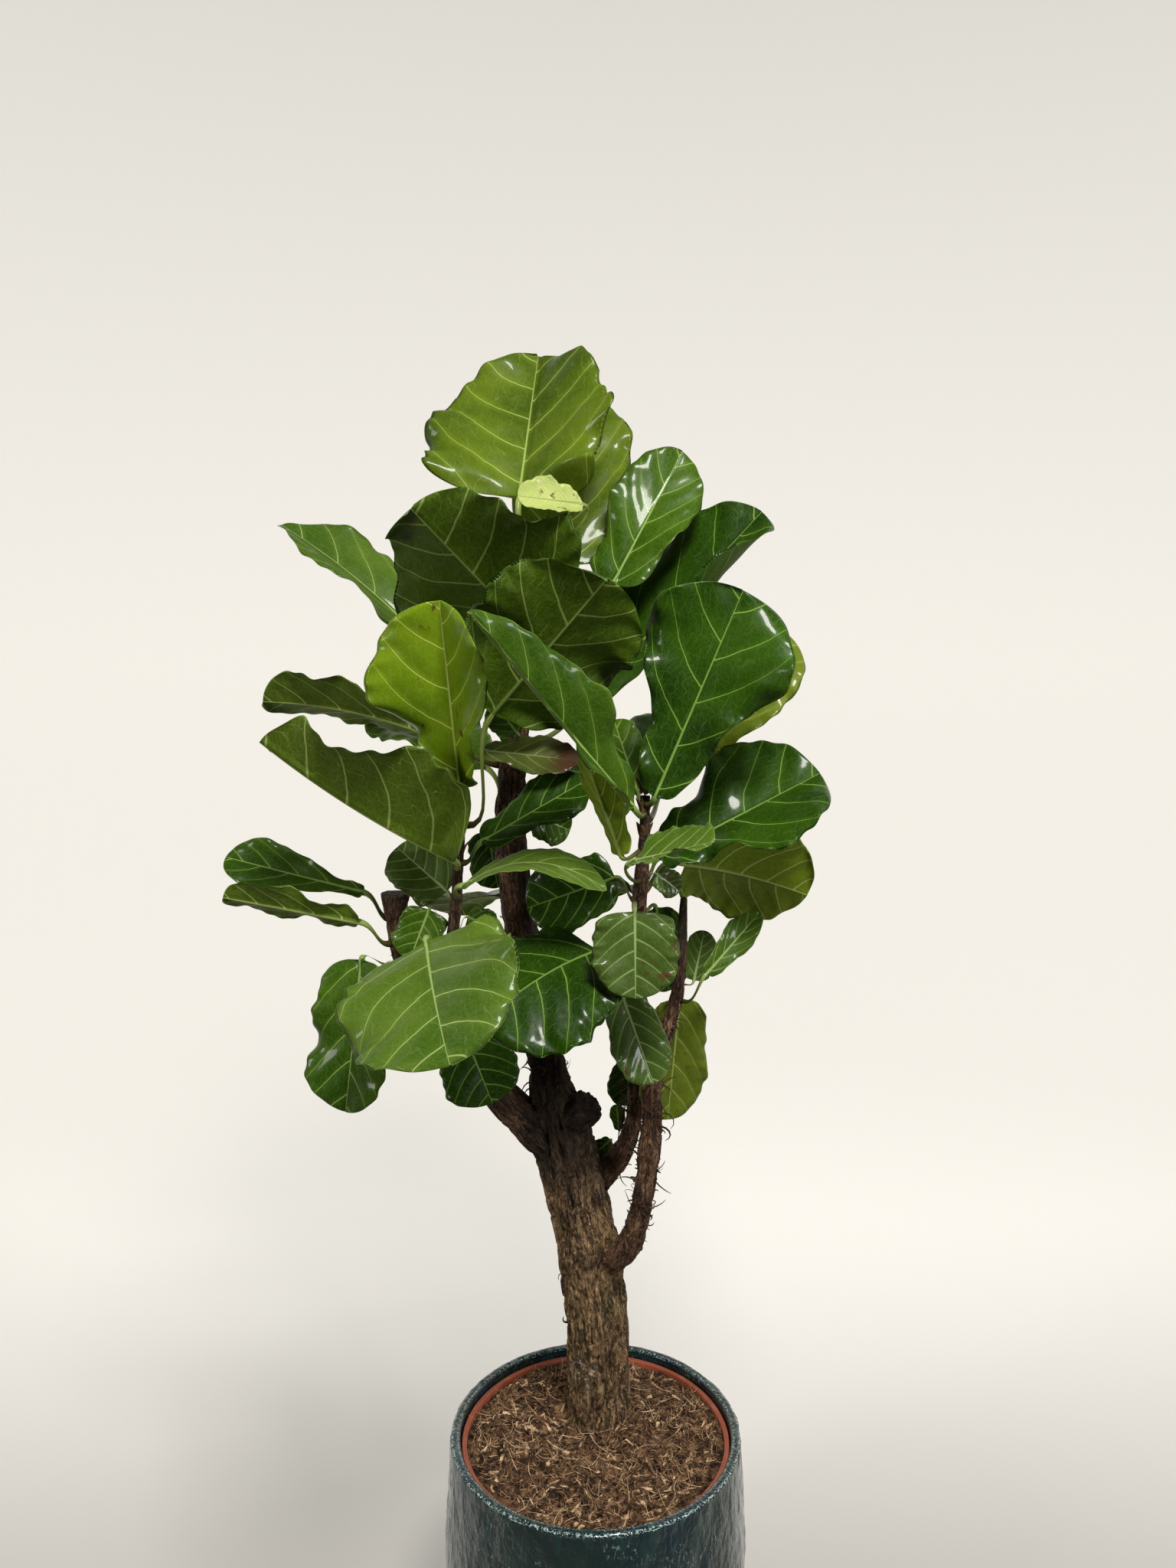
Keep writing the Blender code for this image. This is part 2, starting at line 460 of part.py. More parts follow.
def outline(one, u):
    """Half-width of a fiddle-shaped blade as a share of its widest, from base (0) to tip (1).

    A quarter-round base, a waist that swells to full width, and a rounded or pointed tip.
    """
    waist, widest, rounding = one["waist"], one["widest"], one["rounding"]
    base_round = np.sqrt(1.0 - (1.0 - np.clip(u / rounding, 0.0, 1.0)) ** 2)
    swell = waist + (1.0 - waist) * smoothstep((u - rounding) / (widest - rounding))
    tip_round = np.sqrt(1.0 - np.clip((u - widest) / (1.0 - widest), 0.0, 1.0) ** one["blunt"])
    return base_round * swell * tip_round


def leaf_frame(one):
    """Base point, length, and the along, top and right directions of a blade."""
    lift = np.array((0.0, 0.0, PLANT_LIFT))
    base = np.array(one["base"]) + lift
    along = np.array(one["tip"]) + lift - base
    length = np.linalg.norm(along)
    along = along / length
    top = across(one["face"], along)
    return base, length, along, top, np.cross(along, top)


def blade_point(one, u, v):
    """A point of the blade's middle surface and its top direction; u runs to the tip, v from left to right.

    Each half is an arc: it leaves the midrib at its fold angle and bends up by its curl.
    """
    base, length, along, top, right = leaf_frame(one)
    turn = one["twist"] * (u - 0.3)
    up = top * np.cos(turn) - right * np.sin(turn)
    side = right * np.cos(turn) + top * np.sin(turn)
    half = int(v > 0.0)
    reach = abs(v) * one["width"] * 0.5 * outline(one, u)
    bend = one["curl"][half] * reach / (one["width"] * 0.5)
    lean = one["fold"][half] + bend * 0.5
    chord = reach * np.sinc(bend / (2.0 * np.pi))
    ripple = one["wave"] * one["width"] * v * v * np.sin(2.0 * np.pi * (2.5 * u + 0.3 * half))
    centre = base + along * length * u + top * one["arch"] * length * 4.0 * u * (1.0 - u)
    where = centre + side * np.sign(v) * chord * np.cos(lean) + up * (chord * np.sin(lean) + ripple)
    return where, up


def blade_ring(one, u):
    """Eight points round the blade: left edge, three on top, right edge and three below."""
    top, below = [], []
    for v in BLADE_ACROSS:
        where, up = blade_point(one, u, v)
        rise = up * LEAF_THICKNESS * 0.5 * (abs(v) < 1.0)
        top.append(where + rise)
        below.append(where - rise)
    return top + below[-2:0:-1]


def petiole_ring(one, t, start, outward):
    """A round section at t along the petiole, which leaves the branch square and runs into the midrib."""
    base, length, along, top, right = leaf_frame(one)
    reach = np.linalg.norm(base - start) * 0.4
    knots = (start, start + outward * reach, base - along * reach, base)
    weights = ((1.0 - t) ** 3, 3.0 * t * (1.0 - t) ** 2, 3.0 * t * t * (1.0 - t), t ** 3)
    centre = sum(w * k for w, k in zip(weights, knots))
    way = unit(outward * (1.0 - t) + along * t) if t > 0.0 else outward
    up = across(top, way) if abs(np.dot(top, way)) < 0.98 else across(along, way)
    side = np.cross(way, up)
    radius = min(PETIOLE_RADIUS, PETIOLE_SHARE * length)
    angles = np.pi - 2.0 * np.pi * np.arange(RING_SIDES) / RING_SIDES
    return [centre + radius * (side * np.cos(a) + up * np.sin(a)) for a in angles]


def make_leaf(one, collection, mat):
    """One closed body: a loft from the round petiole into the thin, wide blade."""
    centre, axis, radius = branch_at(one["branch"], one["height"])
    base = leaf_frame(one)[0]
    outward = across(base - centre, axis)
    start = centre + outward * (radius + GAP)
    rings = [petiole_ring(one, t, start, outward) for t in PETIOLE_STATIONS]
    rings += [blade_ring(one, u) for u in BLADE_STATIONS]
    tip = blade_point(one, 1.0, 0.0)[0]
    verts = [tuple(p) for ring in rings for p in ring] + [tuple(tip)]
    faces = [tuple(reversed(range(RING_SIDES)))]
    for row in range(len(rings) - 1):
        for k in range(RING_SIDES):
            a = row * RING_SIDES + k
            b = row * RING_SIDES + (k + 1) % RING_SIDES
            faces.append((a, b, b + RING_SIDES, a + RING_SIDES))
    last = (len(rings) - 1) * RING_SIDES
    faces += [(last + k, last + (k + 1) % RING_SIDES, len(verts) - 1) for k in range(RING_SIDES)]
    mesh = bpy.data.meshes.new(one["name"])
    mesh.from_pydata(verts, [], faces)
    bm = bmesh.new()
    bm.from_mesh(mesh)
    bmesh.ops.recalc_face_normals(bm, faces=bm.faces)
    bmesh.ops.triangulate(bm, faces=bm.faces)
    bm.to_mesh(mesh)
    bm.free()
    return add_object(one["name"], mesh, collection, mat)


# ---------------------------------------------------------------- assembly


def main():
    clear_scene()
    plant = new_collection("potted_fiddle_leaf_fig")
    cutters = new_collection("cutters")
    make_ceramic_pot(plant)
    make_nursery_pot(plant, cutters)
    make_soil(plant, cutters)
    make_wood(plant, cutters)
    for one in LEAVES:
        green = material(one["name"], (0.05, 0.16, 0.03), 0.35)
        make_leaf(one, plant, green)


main()
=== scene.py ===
"""Potted fiddle leaf fig: the looks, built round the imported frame.

Every new piece is a surface worked out as whole arrays: a function of two parameters on a grid, or a
profile carried along a path. Metres, +Z up, the front of the plant faces -Y.
"""
import json
import math

import bpy
import numpy as np
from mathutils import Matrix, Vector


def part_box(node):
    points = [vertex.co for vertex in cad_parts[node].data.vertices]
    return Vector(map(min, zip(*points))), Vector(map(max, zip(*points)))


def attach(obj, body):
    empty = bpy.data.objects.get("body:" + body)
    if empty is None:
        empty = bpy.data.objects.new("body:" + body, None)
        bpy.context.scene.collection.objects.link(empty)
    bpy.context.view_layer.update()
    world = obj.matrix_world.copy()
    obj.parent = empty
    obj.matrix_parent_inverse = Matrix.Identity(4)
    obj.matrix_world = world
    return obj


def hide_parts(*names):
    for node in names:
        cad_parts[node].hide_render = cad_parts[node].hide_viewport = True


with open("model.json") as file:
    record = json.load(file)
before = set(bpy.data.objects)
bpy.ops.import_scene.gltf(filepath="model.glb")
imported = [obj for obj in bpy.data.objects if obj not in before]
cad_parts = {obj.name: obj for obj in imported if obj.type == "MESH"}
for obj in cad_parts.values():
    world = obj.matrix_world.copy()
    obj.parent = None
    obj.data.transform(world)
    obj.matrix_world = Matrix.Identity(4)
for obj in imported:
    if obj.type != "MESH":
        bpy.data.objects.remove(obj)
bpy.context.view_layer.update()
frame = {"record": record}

# ---------------------------------------------------------------- sizes taken from the frame

POT_BELLY_RADIUS, _, POT_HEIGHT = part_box("ceramic_pot")[1]
NURSERY_RIM_RADIUS, _, NURSERY_RIM_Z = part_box("nursery_pot")[1]
NURSERY_FLOOR_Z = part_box("nursery_pot")[0][2]
SOIL_RADIUS, _, SOIL_TOP_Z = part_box("soil")[1]
SOIL_FLOOR_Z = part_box("soil")[0][2]

POT_RIM_RADIUS = POT_BELLY_RADIUS - 0.007
POT_BASE_RADIUS = POT_RIM_RADIUS - 0.0175
POT_WALL = 0.0125
POT_FLOOR = 0.014
NURSERY_WALL = 0.002
NURSERY_LIP = 0.006
NURSERY_LIP_DEPTH = 0.012
NURSERY_TAPER = 0.030
SOIL_MOUND = 0.006
SOIL_AROUND = 300           # points round the soil

TRUNK_X = 0.005
TRUNK_Y = 0.042
TRUNK_RADIUS = 0.038
TRUNK_BURIED = 0.060
PLANT_DATUM = 0.340         # height of the soil for which the heights of branches and leaves are given
PLANT_LIFT = SOIL_TOP_Z - PLANT_DATUM
WOOD_AROUND = 24            # points round a branch before the branches are melted together
WOOD_VOXEL = 0.0019
CROTCH_SOFTENING = 5        # smoothing passes over the melted branches
CUT_FACE_REACH = 0.024      # how far the sawn face on the left limb spreads from its middle

PETIOLE_RADIUS = 0.0032
PETIOLE_SHARE = 0.022       # a small leaf's petiole radius, as a share of the blade's length
PETIOLE_MAP = 0.25          # the petiole's length in the blade's share map
BLADE_THICKNESS = 0.0008
BLADE_FULL_DETAIL = 0.22    # a blade this long has all its points, and a shorter one has fewer
POINTS_ACROSS_HALF = 26     # from the midrib to the margin of a full blade
ROWS_AT_ENDS = 14           # in a full blade's rounded base, and in its tip
ROWS_BETWEEN = 62
PETIOLE_ROWS = 10
BASE_ROUND = 0.14
TIP_BLUNTNESS = 2.2
VEIN_PAIRS = 4.7            # side veins along the blade
VEIN_SLANT = 0.20           # how far forward a side vein runs on its way to the margin
VEIN_CURVE = 0.22           # and how much more it gains towards the margin
VEIN_STAGGER = 0.37         # how far the right half's veins are shifted along, in vein pairs
QUILT = 0.010               # how far the blade swells between two side veins, as a share of its width
FIRST_LEAF_SEED = 100

SHRED_SEED, STRAND_SEED, SHEATH_SEED, LITTER_SEED = 11, 12, 5, 31

SHEATH_SIDES = 8
SHEATH_RINGS = 9
SHEATHS = 9                 # on each shoot, three to a whorl
GOLDEN_TURN = 2.4           # angle from one bud sheath to the next

CRUST_AT = (-0.014, TRUNK_Y - 0.036, 0.415)     # a limy crust left by watering, low on the trunk
LIME = (0.50, 0.47, 0.41)
LICHEN = (0.42, 0.38, 0.31)
CRACK_BLACK = (0.010, 0.006, 0.004)
PETIOLE_GREEN = (0.075, 0.095, 0.014)
PETIOLE_FOOT = (0.045, 0.026, 0.010)
SPOT_BROWN = (0.060, 0.022, 0.006)
SCORCH_DARK = (0.020, 0.011, 0.006)
SCORCH_LIGHT = (0.065, 0.030, 0.012)

ROOM_RADIUS = 3.6
ROOM_CURVE = 1.2
ROOM_HEIGHT = 4.2
ROOM_AROUND = 96
FOCAL_LENGTH = 27.05        # in millimetres, on a 36 mm sensor
CAMERA_DIP = 7.2            # degrees below the horizon

SHREDS = (      # branch, from and to this height, how many
    ("right_front", 0.56, 0.86, 420), ("right_back", 0.64, 0.86, 170), ("left_limb", 0.72, 0.95, 150),
    ("leader", 0.62, 1.0, 160), ("leader", 0.36, 0.60, 60), ("left_shoot", 0.86, 0.96, 60),
)

LITTER = (      # name, how many, shortest, longest, thinnest and thickest radius, dark, light, how bent
    ("coir_fibres", 3000, 0.006, 0.026, 0.00018, 0.00045, (0.10, 0.050, 0.024), (0.46, 0.29, 0.15), 2.4),
    ("bright_fibres", 460, 0.014, 0.040, 0.00022, 0.00048, (0.36, 0.23, 0.12), (0.78, 0.58, 0.37), 2.2),
    ("dark_crumbs", 1500, 0.004, 0.013, 0.0011, 0.0030, (0.014, 0.008, 0.005), (0.110, 0.058, 0.030), 0.5),
    ("pale_chips", 200, 0.006, 0.020, 0.0010, 0.0026, (0.20, 0.115, 0.06), (0.60, 0.43, 0.26), 0.5),
)

# ---------------------------------------------------------------- the plant, in listed places

# each branch: points of its centre line (x, y, z) and its radius there
BRANCHES = {
    "leader": (
        (TRUNK_X, TRUNK_Y, PLANT_DATUM - TRUNK_BURIED, TRUNK_RADIUS),
        (TRUNK_X, TRUNK_Y, PLANT_DATUM + 0.005, TRUNK_RADIUS),
        (0.002, 0.033, 0.44, 0.037), (-0.007, 0.02, 0.55, 0.0365), (-0.020, 0.01, 0.63, 0.0355),
        (-0.038, 0.003, 0.715, 0.034), (-0.052, 0.002, 0.775, 0.0235), (-0.058, 0.0, 0.81, 0.020),
        (-0.085, 0.01, 0.955, 0.019), (-0.092, 0.01, 1.01, 0.0175), (-0.096, 0.01, 1.055, 0.0185),
        (-0.093, 0.01, 1.14, 0.0145), (-0.084, 0.01, 1.20, 0.012), (-0.070, 0.01, 1.285, 0.0075),
        (-0.056, 0.01, 1.39, 0.0045)),
    "knob": ((-0.045, 0.0, 0.725, 0.020), (-0.020, -0.012, 0.746, 0.0215), (-0.008, -0.019, 0.758, 0.0195)),
    "left_limb": (
        (-0.035, 0.0, 0.69, 0.024), (-0.075, -0.005, 0.728, 0.022), (-0.110, -0.01, 0.768, 0.0185),
        (-0.140, -0.02, 0.806, 0.015), (-0.186, -0.03, 0.872, 0.011), (-0.214, -0.03, 0.924, 0.0075),
        (-0.220, -0.03, 0.967, 0.0105), (-0.220, -0.03, 1.005, 0.0165)),
    "left_shoot": (
        (-0.155, -0.023, 0.828, 0.009), (-0.160, -0.045, 0.913, 0.0075), (-0.150, -0.06, 1.005, 0.0062),
        (-0.146, -0.06, 1.065, 0.0055), (-0.143, -0.06, 1.125, 0.004)),
    "right_front": (
        (0.000, 0.01, 0.545, 0.014), (0.025, -0.004, 0.568, 0.016), (0.042, -0.02, 0.60, 0.0145),
        (0.052, -0.03, 0.647, 0.0126), (0.058, -0.03, 0.69, 0.0132), (0.062, -0.03, 0.735, 0.0128),
        (0.063, -0.03, 0.78, 0.0112), (0.071, -0.03, 0.827, 0.010), (0.088, -0.03, 0.88, 0.0085),
        (0.094, -0.03, 0.94, 0.006), (0.096, -0.03, 1.0, 0.0045)),
    "right_back": (
        (-0.020, 0.005, 0.63, 0.018), (0.000, 0.012, 0.652, 0.0165), (0.023, 0.02, 0.672, 0.0135),
        (0.042, 0.03, 0.707, 0.0108), (0.046, 0.03, 0.75, 0.009), (0.044, 0.02, 0.80, 0.0085),
        (0.045, -0.02, 0.905, 0.008), (0.046, -0.06, 0.995, 0.0078), (0.048, -0.07, 1.037, 0.0072),
        (0.050, -0.08, 1.085, 0.006), (0.050, -0.08, 1.12, 0.0045)),
}


def leaf(name, tone, branch, height, base, tip, face, width, waist=0.6, widest=0.62, arch=0.0, twist=0.0,
         fold=(0.15, 0.15), curl=(0.0, 0.0), wave=0.0, rounding=BASE_ROUND, blunt=TIP_BLUNTNESS):
    """One leaf's description. tone is the name of its green; the deep tone is partly painted shade and the
    brighter glossy tone a painted shine.

    The petiole springs from the branch at the given height and ends at base, where the blade begins.
    face is the way the blade's top side looks. waist is the width near the base as a share of the
    full width, and widest is how far along the blade that full width is reached. arch
    raises the middle of the midrib by that share of the length. fold lifts the left and right
    halves, in radians, and curl bends each half further up towards its edge. twist turns the blade
    about its midrib from base to tip. wave is the height of the margin's waves as a share of the width.
    rounding is the share of the length in the rounded base, and a lower blunt makes a more pointed tip.
    """
    return dict(name=name, tone=tone, branch=branch, height=height, base=base, tip=tip, face=face,
                width=width, waist=waist, widest=widest, arch=arch, twist=twist, fold=fold, curl=curl,
                wave=wave, rounding=rounding, blunt=blunt)


# tones: deep is partly painted shade, and the brighter glossy tone is a painted shine
LEAVES = (
    # the crown on the leader
    leaf("crown_top", "pale", "leader", 1.375, (-0.085, 0.03, 1.435), (-0.068, 0.15, 1.612), (0, -0.8, 0.6),
         0.235, waist=0.9, widest=0.40, fold=(0.05, 0.65), wave=0.04, blunt=1.35),
    leaf("crown_behind", "pale", "leader", 1.33, (-0.030, 0.075, 1.365), (-0.034, 0.18, 1.58),
         (0.1, -0.9, 0.4), 0.15, waist=0.85, wave=0.03),
    leaf("crown_young", "young", "leader", 1.385, (-0.015, 0.00, 1.425), (-0.083, -0.03, 1.43),
         (0, -0.85, 0.5), 0.054, waist=0.75, widest=0.5, curl=(0.7, 0.7), rounding=0.35),
    leaf("crown_front_left", "deep", "leader", 1.25, (-0.062, -0.03, 1.28), (-0.182, -0.12, 1.408),
         (0.3, 0.7, 0.6), 0.22, waist=0.8, widest=0.45, fold=(0.3, 0.1), wave=0.03, blunt=1.7),
    leaf("crown_upper_right", "mid", "leader", 1.28, (0.018, 0.035, 1.34), (0.100, 0.10, 1.495),
         (-0.3, -0.9, 0.3), 0.10, waist=0.75, twist=-0.6, wave=0.03, blunt=1.7),
    leaf("crown_right_shaded", "deep", "leader", 1.27, (0.012, 0.12, 1.315), (0.075, 0.155, 1.415),
         (-0.2, -0.9, 0.3), 0.10),
    leaf("crown_right_long", "deep", "leader", 1.17, (-0.020, 0.05, 1.20), (0.190, 0.08, 1.425),
         (-0.5, -0.8, 0.4), 0.18, waist=0.6, fold=(0.1, 0.0), curl=(0.0, 1.9), wave=0.02, blunt=1.5),
    leaf("crown_far_left", "sheen", "leader", 1.20, (-0.170, 0.04, 1.25), (-0.361, 0.08, 1.41),
         (0.3, -0.5, 0.8), 0.12, fold=(0.5, 0.3), arch=0.05, wave=0.03, blunt=1.5),
    leaf("crown_left_low", "sheen", "leader", 1.14, (-0.190, 0.03, 1.175), (-0.380, 0.05, 1.21),
         (0, 0.6, 0.8), 0.10, fold=(0.3, 0.3), arch=0.05, wave=0.03),
    leaf("leader_brown_tip", "scorched", "leader", 1.155, (-0.122, -0.035, 1.162), (-0.018, -0.045, 1.152),
         (0, -0.6, 0.8), 0.06, blunt=1.6),
    leaf("leader_small", "mid", "leader", 1.18, (-0.085, -0.03, 1.18), (-0.110, -0.045, 1.215),
         (0, -1, 0.2), 0.04, waist=0.9),
    leaf("leader_left_behind", "deep", "leader", 1.055, (-0.125, 0.05, 1.06), (-0.115, 0.065, 0.99),
         (0, -1, 0.1), 0.055, waist=0.9),
    leaf("leader_right_behind", "mid", "leader", 1.08, (-0.070, 0.04, 1.08), (-0.030, 0.055, 1.06),
         (0, -1, 0.3), 0.05, waist=0.9),
    # the left shoot
    leaf("left_shoot_dark", "deep", "left_shoot", 1.085, (-0.108, -0.075, 1.205), (0.010, -0.14, 1.34),
         (-0.2, 0.9, 0.3), 0.175, waist=0.8, widest=0.55, wave=0.05),
    leaf("left_shoot_upright", "bright", "left_shoot", 1.115, (-0.138, -0.12, 1.132),
         (-0.152, -0.15, 1.318), (-0.2, -1, 0.2), 0.160, waist=0.50, widest=0.55, fold=(0.1, 0.85),
         wave=0.03, rounding=0.28),
    leaf("left_shoot_large", "mid", "left_shoot", 1.04, (-0.148, -0.10, 1.055), (-0.335, -0.13, 1.18),
         (0.3, 0.3, 0.9), 0.205, waist=0.82, widest=0.38, fold=(0.8, 0.4), arch=-0.03, wave=0.02,
         blunt=1.05),
    leaf("left_shoot_inner", "deep", "left_shoot", 1.045, (-0.120, -0.075, 1.07), (-0.005, -0.05, 1.135),
         (-0.3, -0.6, 0.6), 0.07),
    leaf("left_shoot_arching", "sheen", "left_shoot", 1.01, (-0.135, -0.11, 1.03), (0.010, -0.13, 1.03),
         (0, -0.35, 1), 0.05, arch=0.2, fold=(0.2, 0.2)),
    leaf("left_shoot_spotted", "grey_green", "left_shoot", 0.99, (-0.163, -0.035, 1.008), (-0.222, 0.0, 1.05),
         (0, -0.8, 0.5), 0.07, waist=0.9),
    leaf("left_shoot_hanging", "mid", "left_shoot", 0.975, (-0.180, -0.055, 0.992), (-0.200, -0.065, 0.94),
         (0, -1, 0.2), 0.054, waist=0.9),
    leaf("left_shoot_small", "mid", "left_shoot", 0.965, (-0.140, -0.04, 0.98), (-0.110, -0.03, 0.965),
         (0, -0.9, 0.3), 0.032, waist=0.9),
    leaf("left_shoot_front", "sheen", "left_shoot", 0.95, (-0.170, -0.15, 0.98), (-0.128, -0.32, 0.918),
         (-0.35, -0.45, 0.8), 0.18, waist=0.85, widest=0.5, arch=0.04, wave=0.02),
    # the left limb
    leaf("limb_upper", "mid", "left_limb", 0.975, (-0.260, -0.005, 1.00), (-0.420, 0.02, 1.035),
         (0.2, -0.8, 0.5), 0.062, waist=0.3, widest=0.7, fold=(0.3, 0.3), wave=0.06),
    leaf("limb_lower", "mid", "left_limb", 0.95, (-0.255, -0.06, 0.98), (-0.395, -0.075, 1.01),
         (0.2, 0.7, 0.6), 0.06, fold=(0.3, 0.3), wave=0.05),
    leaf("limb_drooping", "mid", "left_limb", 0.925, (-0.255, -0.05, 0.935), (-0.270, -0.08, 0.775),
         (-0.5, -0.8, 0), 0.105, waist=0.8, fold=(0.2, 0.4), wave=0.03),
    leaf("limb_under", "deep", "left_limb", 0.83, (-0.145, -0.06, 0.86), (-0.112, -0.08, 0.785),
         (0.2, -1, 0.1), 0.085, waist=0.8),
    # the back right branch and its shoot
    leaf("right_shoot_large", "deep", "right_back", 1.11, (0.060, -0.095, 1.12), (0.148, -0.09, 1.33),
         (-0.1, -1, 0.25), 0.160, waist=0.45, widest=0.70, fold=(0.25, 0.15), wave=0.05, rounding=0.30),
    leaf("right_shoot_long_front", "mid", "right_back", 1.10, (0.035, -0.13, 1.115), (-0.115, -0.24, 1.305),
         (0.5, -0.7, 0.5), 0.100, waist=0.65, widest=0.45, blunt=1.3, fold=(0.8, 0.6), wave=0.04,
         rounding=0.22),
    leaf("right_shoot_behind", "olive", "right_back", 1.09, (0.095, 0.035, 1.145), (0.220, 0.08, 1.288),
         (-0.3, -0.8, 0.3), 0.12, wave=0.03),
    leaf("right_shoot_blue", "mid", "right_back", 1.075, (0.045, -0.035, 1.115), (0.020, 0.03, 1.19),
         (0.1, -0.9, 0.4), 0.05, waist=0.8),
    leaf("right_shoot_wide", "deep", "right_back", 1.03, (0.067, -0.06, 1.05), (0.240, -0.04, 1.138),
         (-0.3, -0.75, 0.6), 0.175, waist=0.50, widest=0.62, fold=(0.05, 0.5), wave=0.04, rounding=0.28),
    leaf("right_shoot_curled", "sheen", "right_back", 1.03, (0.037, -0.13, 1.06), (0.112, -0.18, 1.088),
         (-0.1, -0.3, 0.9), 0.07, waist=0.9, curl=(0.6, 0.4)),
    leaf("right_shoot_crescent", "olive", "right_back", 1.06, (0.025, -0.10, 1.06), (-0.015, -0.13, 1.175),
         (0.5, 0.8, 0.2), 0.05, fold=(0.5, 0.5)),
    leaf("right_shoot_olive", "olive", "right_back", 1.01, (0.103, 0.03, 1.025), (0.250, 0.07, 0.98),
         (0.1, 0.9, 0.4), 0.14, waist=0.7, widest=0.58, arch=0.05),
    leaf("right_shoot_stub", "grey_green", "right_back", 1.02, (0.065, -0.05, 1.03), (0.090, -0.045, 1.01),
         (0.2, -0.9, 0.3), 0.03, waist=0.9),
    leaf("right_shoot_inner", "deep", "right_back", 1.00, (0.020, -0.045, 1.025), (-0.075, -0.04, 0.99),
         (0, -0.9, 0.4), 0.08, waist=0.8),
    leaf("right_shoot_round", "grey_green", "right_back", 0.99, (0.038, -0.14, 1.01), (0.038, -0.165, 0.928),
         (0, -1, 0.3), 0.088, waist=0.9, widest=0.5),
    leaf("right_shoot_dark", "deep", "right_back", 0.98, (0.066, -0.02, 0.985), (0.083, 0.01, 0.882),
         (0.2, -1, 0), 0.06, waist=0.8),
    leaf("right_back_glossy", "deep", "right_back", 0.93, (0.000, -0.095, 0.957), (-0.115, -0.185, 0.908),
         (-0.1, -0.6, 0.8), 0.165, waist=0.8, widest=0.55, arch=0.08, fold=(-0.1, -0.1)),
    leaf("right_back_hanging", "grey_green", "right_back", 0.90, (0.027, -0.08, 0.905), (0.060, -0.10, 0.815),
         (0.2, -1, 0.2), 0.062, waist=0.8),
    leaf("right_back_small", "deep", "right_back", 0.79, (0.050, 0.05, 0.80), (0.035, 0.07, 0.72),
         (0, -1, 0), 0.052, waist=0.8),
    leaf("right_back_bud", "mid", "right_back", 0.69, (0.028, 0.045, 0.70), (0.025, 0.05, 0.73),
         (0, -1, 0.1), 0.018),
    leaf("right_back_tiny", "mid", "right_back", 0.675, (0.018, 0.045, 0.688), (-0.008, 0.04, 0.666),
         (0, -1, 0.3), 0.027),
    # the front right branch
    leaf("right_front_twisted", "sheen", "right_front", 0.885, (0.120, -0.05, 0.92), (0.181, -0.02, 0.98),
         (0.4, -0.7, 0.5), 0.036, twist=1.0, fold=(0.3, 0.3)),
    leaf("right_front_spotted", "grey_green", "right_front", 0.90, (0.110, -0.01, 0.90), (0.122, 0.00, 0.955),
         (0.1, -1, 0), 0.035, waist=0.9),
    leaf("right_front_hanging", "olive", "right_front", 0.87, (0.095, 0.00, 0.875), (0.084, 0.02, 0.724),
         (0.2, -0.9, 0.1), 0.08, waist=0.8),
    # the back of the plant
    leaf("back_upper", "mid", "leader", 1.22, (-0.065, 0.09, 1.25), (-0.120, 0.25, 1.36), (0, -0.5, 0.85),
         0.17, waist=0.7, wave=0.03),
    leaf("back_left", "mid", "leader", 1.10, (-0.130, 0.09, 1.13), (-0.260, 0.20, 1.20), (0.2, -0.4, 0.9),
         0.15, wave=0.03),
    leaf("back_right", "mid", "leader", 1.10, (-0.020, 0.09, 1.12), (0.120, 0.22, 1.17), (-0.2, -0.4, 0.9),
         0.15, wave=0.03),
    leaf("back_low_left", "mid", "leader", 0.97, (-0.110, 0.07, 0.98), (-0.190, 0.19, 0.93),
         (-0.1, 0.3, 0.9), 0.13, arch=0.05, wave=0.03),
    leaf("back_low_right", "mid", "leader", 0.98, (-0.045, 0.08, 0.99), (0.020, 0.20, 0.95),
         (0.1, 0.3, 0.9), 0.13, arch=0.05, wave=0.03),
    leaf("back_branch", "mid", "right_back", 0.86, (0.060, 0.05, 0.88), (0.110, 0.15, 0.86),
         (0.1, 0.2, 0.9), 0.09, arch=0.05),
)


# ---------------------------------------------------------------- arrays and noise


def unit(v):
    """Vectors made one metre long, along the last axis."""
    v = np.asarray(v, float)
    return v / np.linalg.norm(v, axis=-1, keepdims=True)


def across(v, axis):
    """The part of v at right angles to the axis, made one metre long."""
    return unit(np.asarray(v, float) - np.dot(v, axis) * axis)


def smoothstep(t):
    """0 below 0, 1 above 1 and a smooth rise between: 3t^2 - 2t^3."""
    t = np.clip(t, 0.0, 1.0)
    return t * t * (3.0 - 2.0 * t)


def lattice(cell, seed):
    """A steady random value from 0 to 1 for each whole-numbered cell: the far digits of a sine."""
    mixed = np.sin(cell[..., 0] * 127.1 + cell[..., 1] * 311.7 + cell[..., 2] * 74.7 + seed * 17.3)
    mixed = mixed * 43758.5453
    return mixed - np.floor(mixed)


def noise(p, seed=0.0):
    """Value noise from 0 to 1: lattice values blended smoothly over the eight corners of each cell."""
    p = np.asarray(p, float)
    low = np.floor(p)
    f = smoothstep(p - low)
    total = np.zeros(p.shape[:-1])
    for corner in np.ndindex(2, 2, 2):
        weight = np.prod(np.where(corner, f, 1.0 - f), axis=-1)
        total += weight * lattice(low + corner, seed)
    return total


def fractal(p, seed=0.0, octaves=3):
    """Noise summed over octaves, each twice as fine and half as strong, scaled back to 0 to 1."""
    total, strength, reach = 0.0, 1.0, 0.0
    for octave in range(octaves):
        total = total + strength * noise(np.asarray(p) * 2.0 ** octave, seed + octave * 5.1)
        reach += strength
        strength *= 0.5
    return total / reach


def turns(around):
    """Evenly spaced angles, once round."""
    return 2.0 * np.pi * np.arange(around) / around


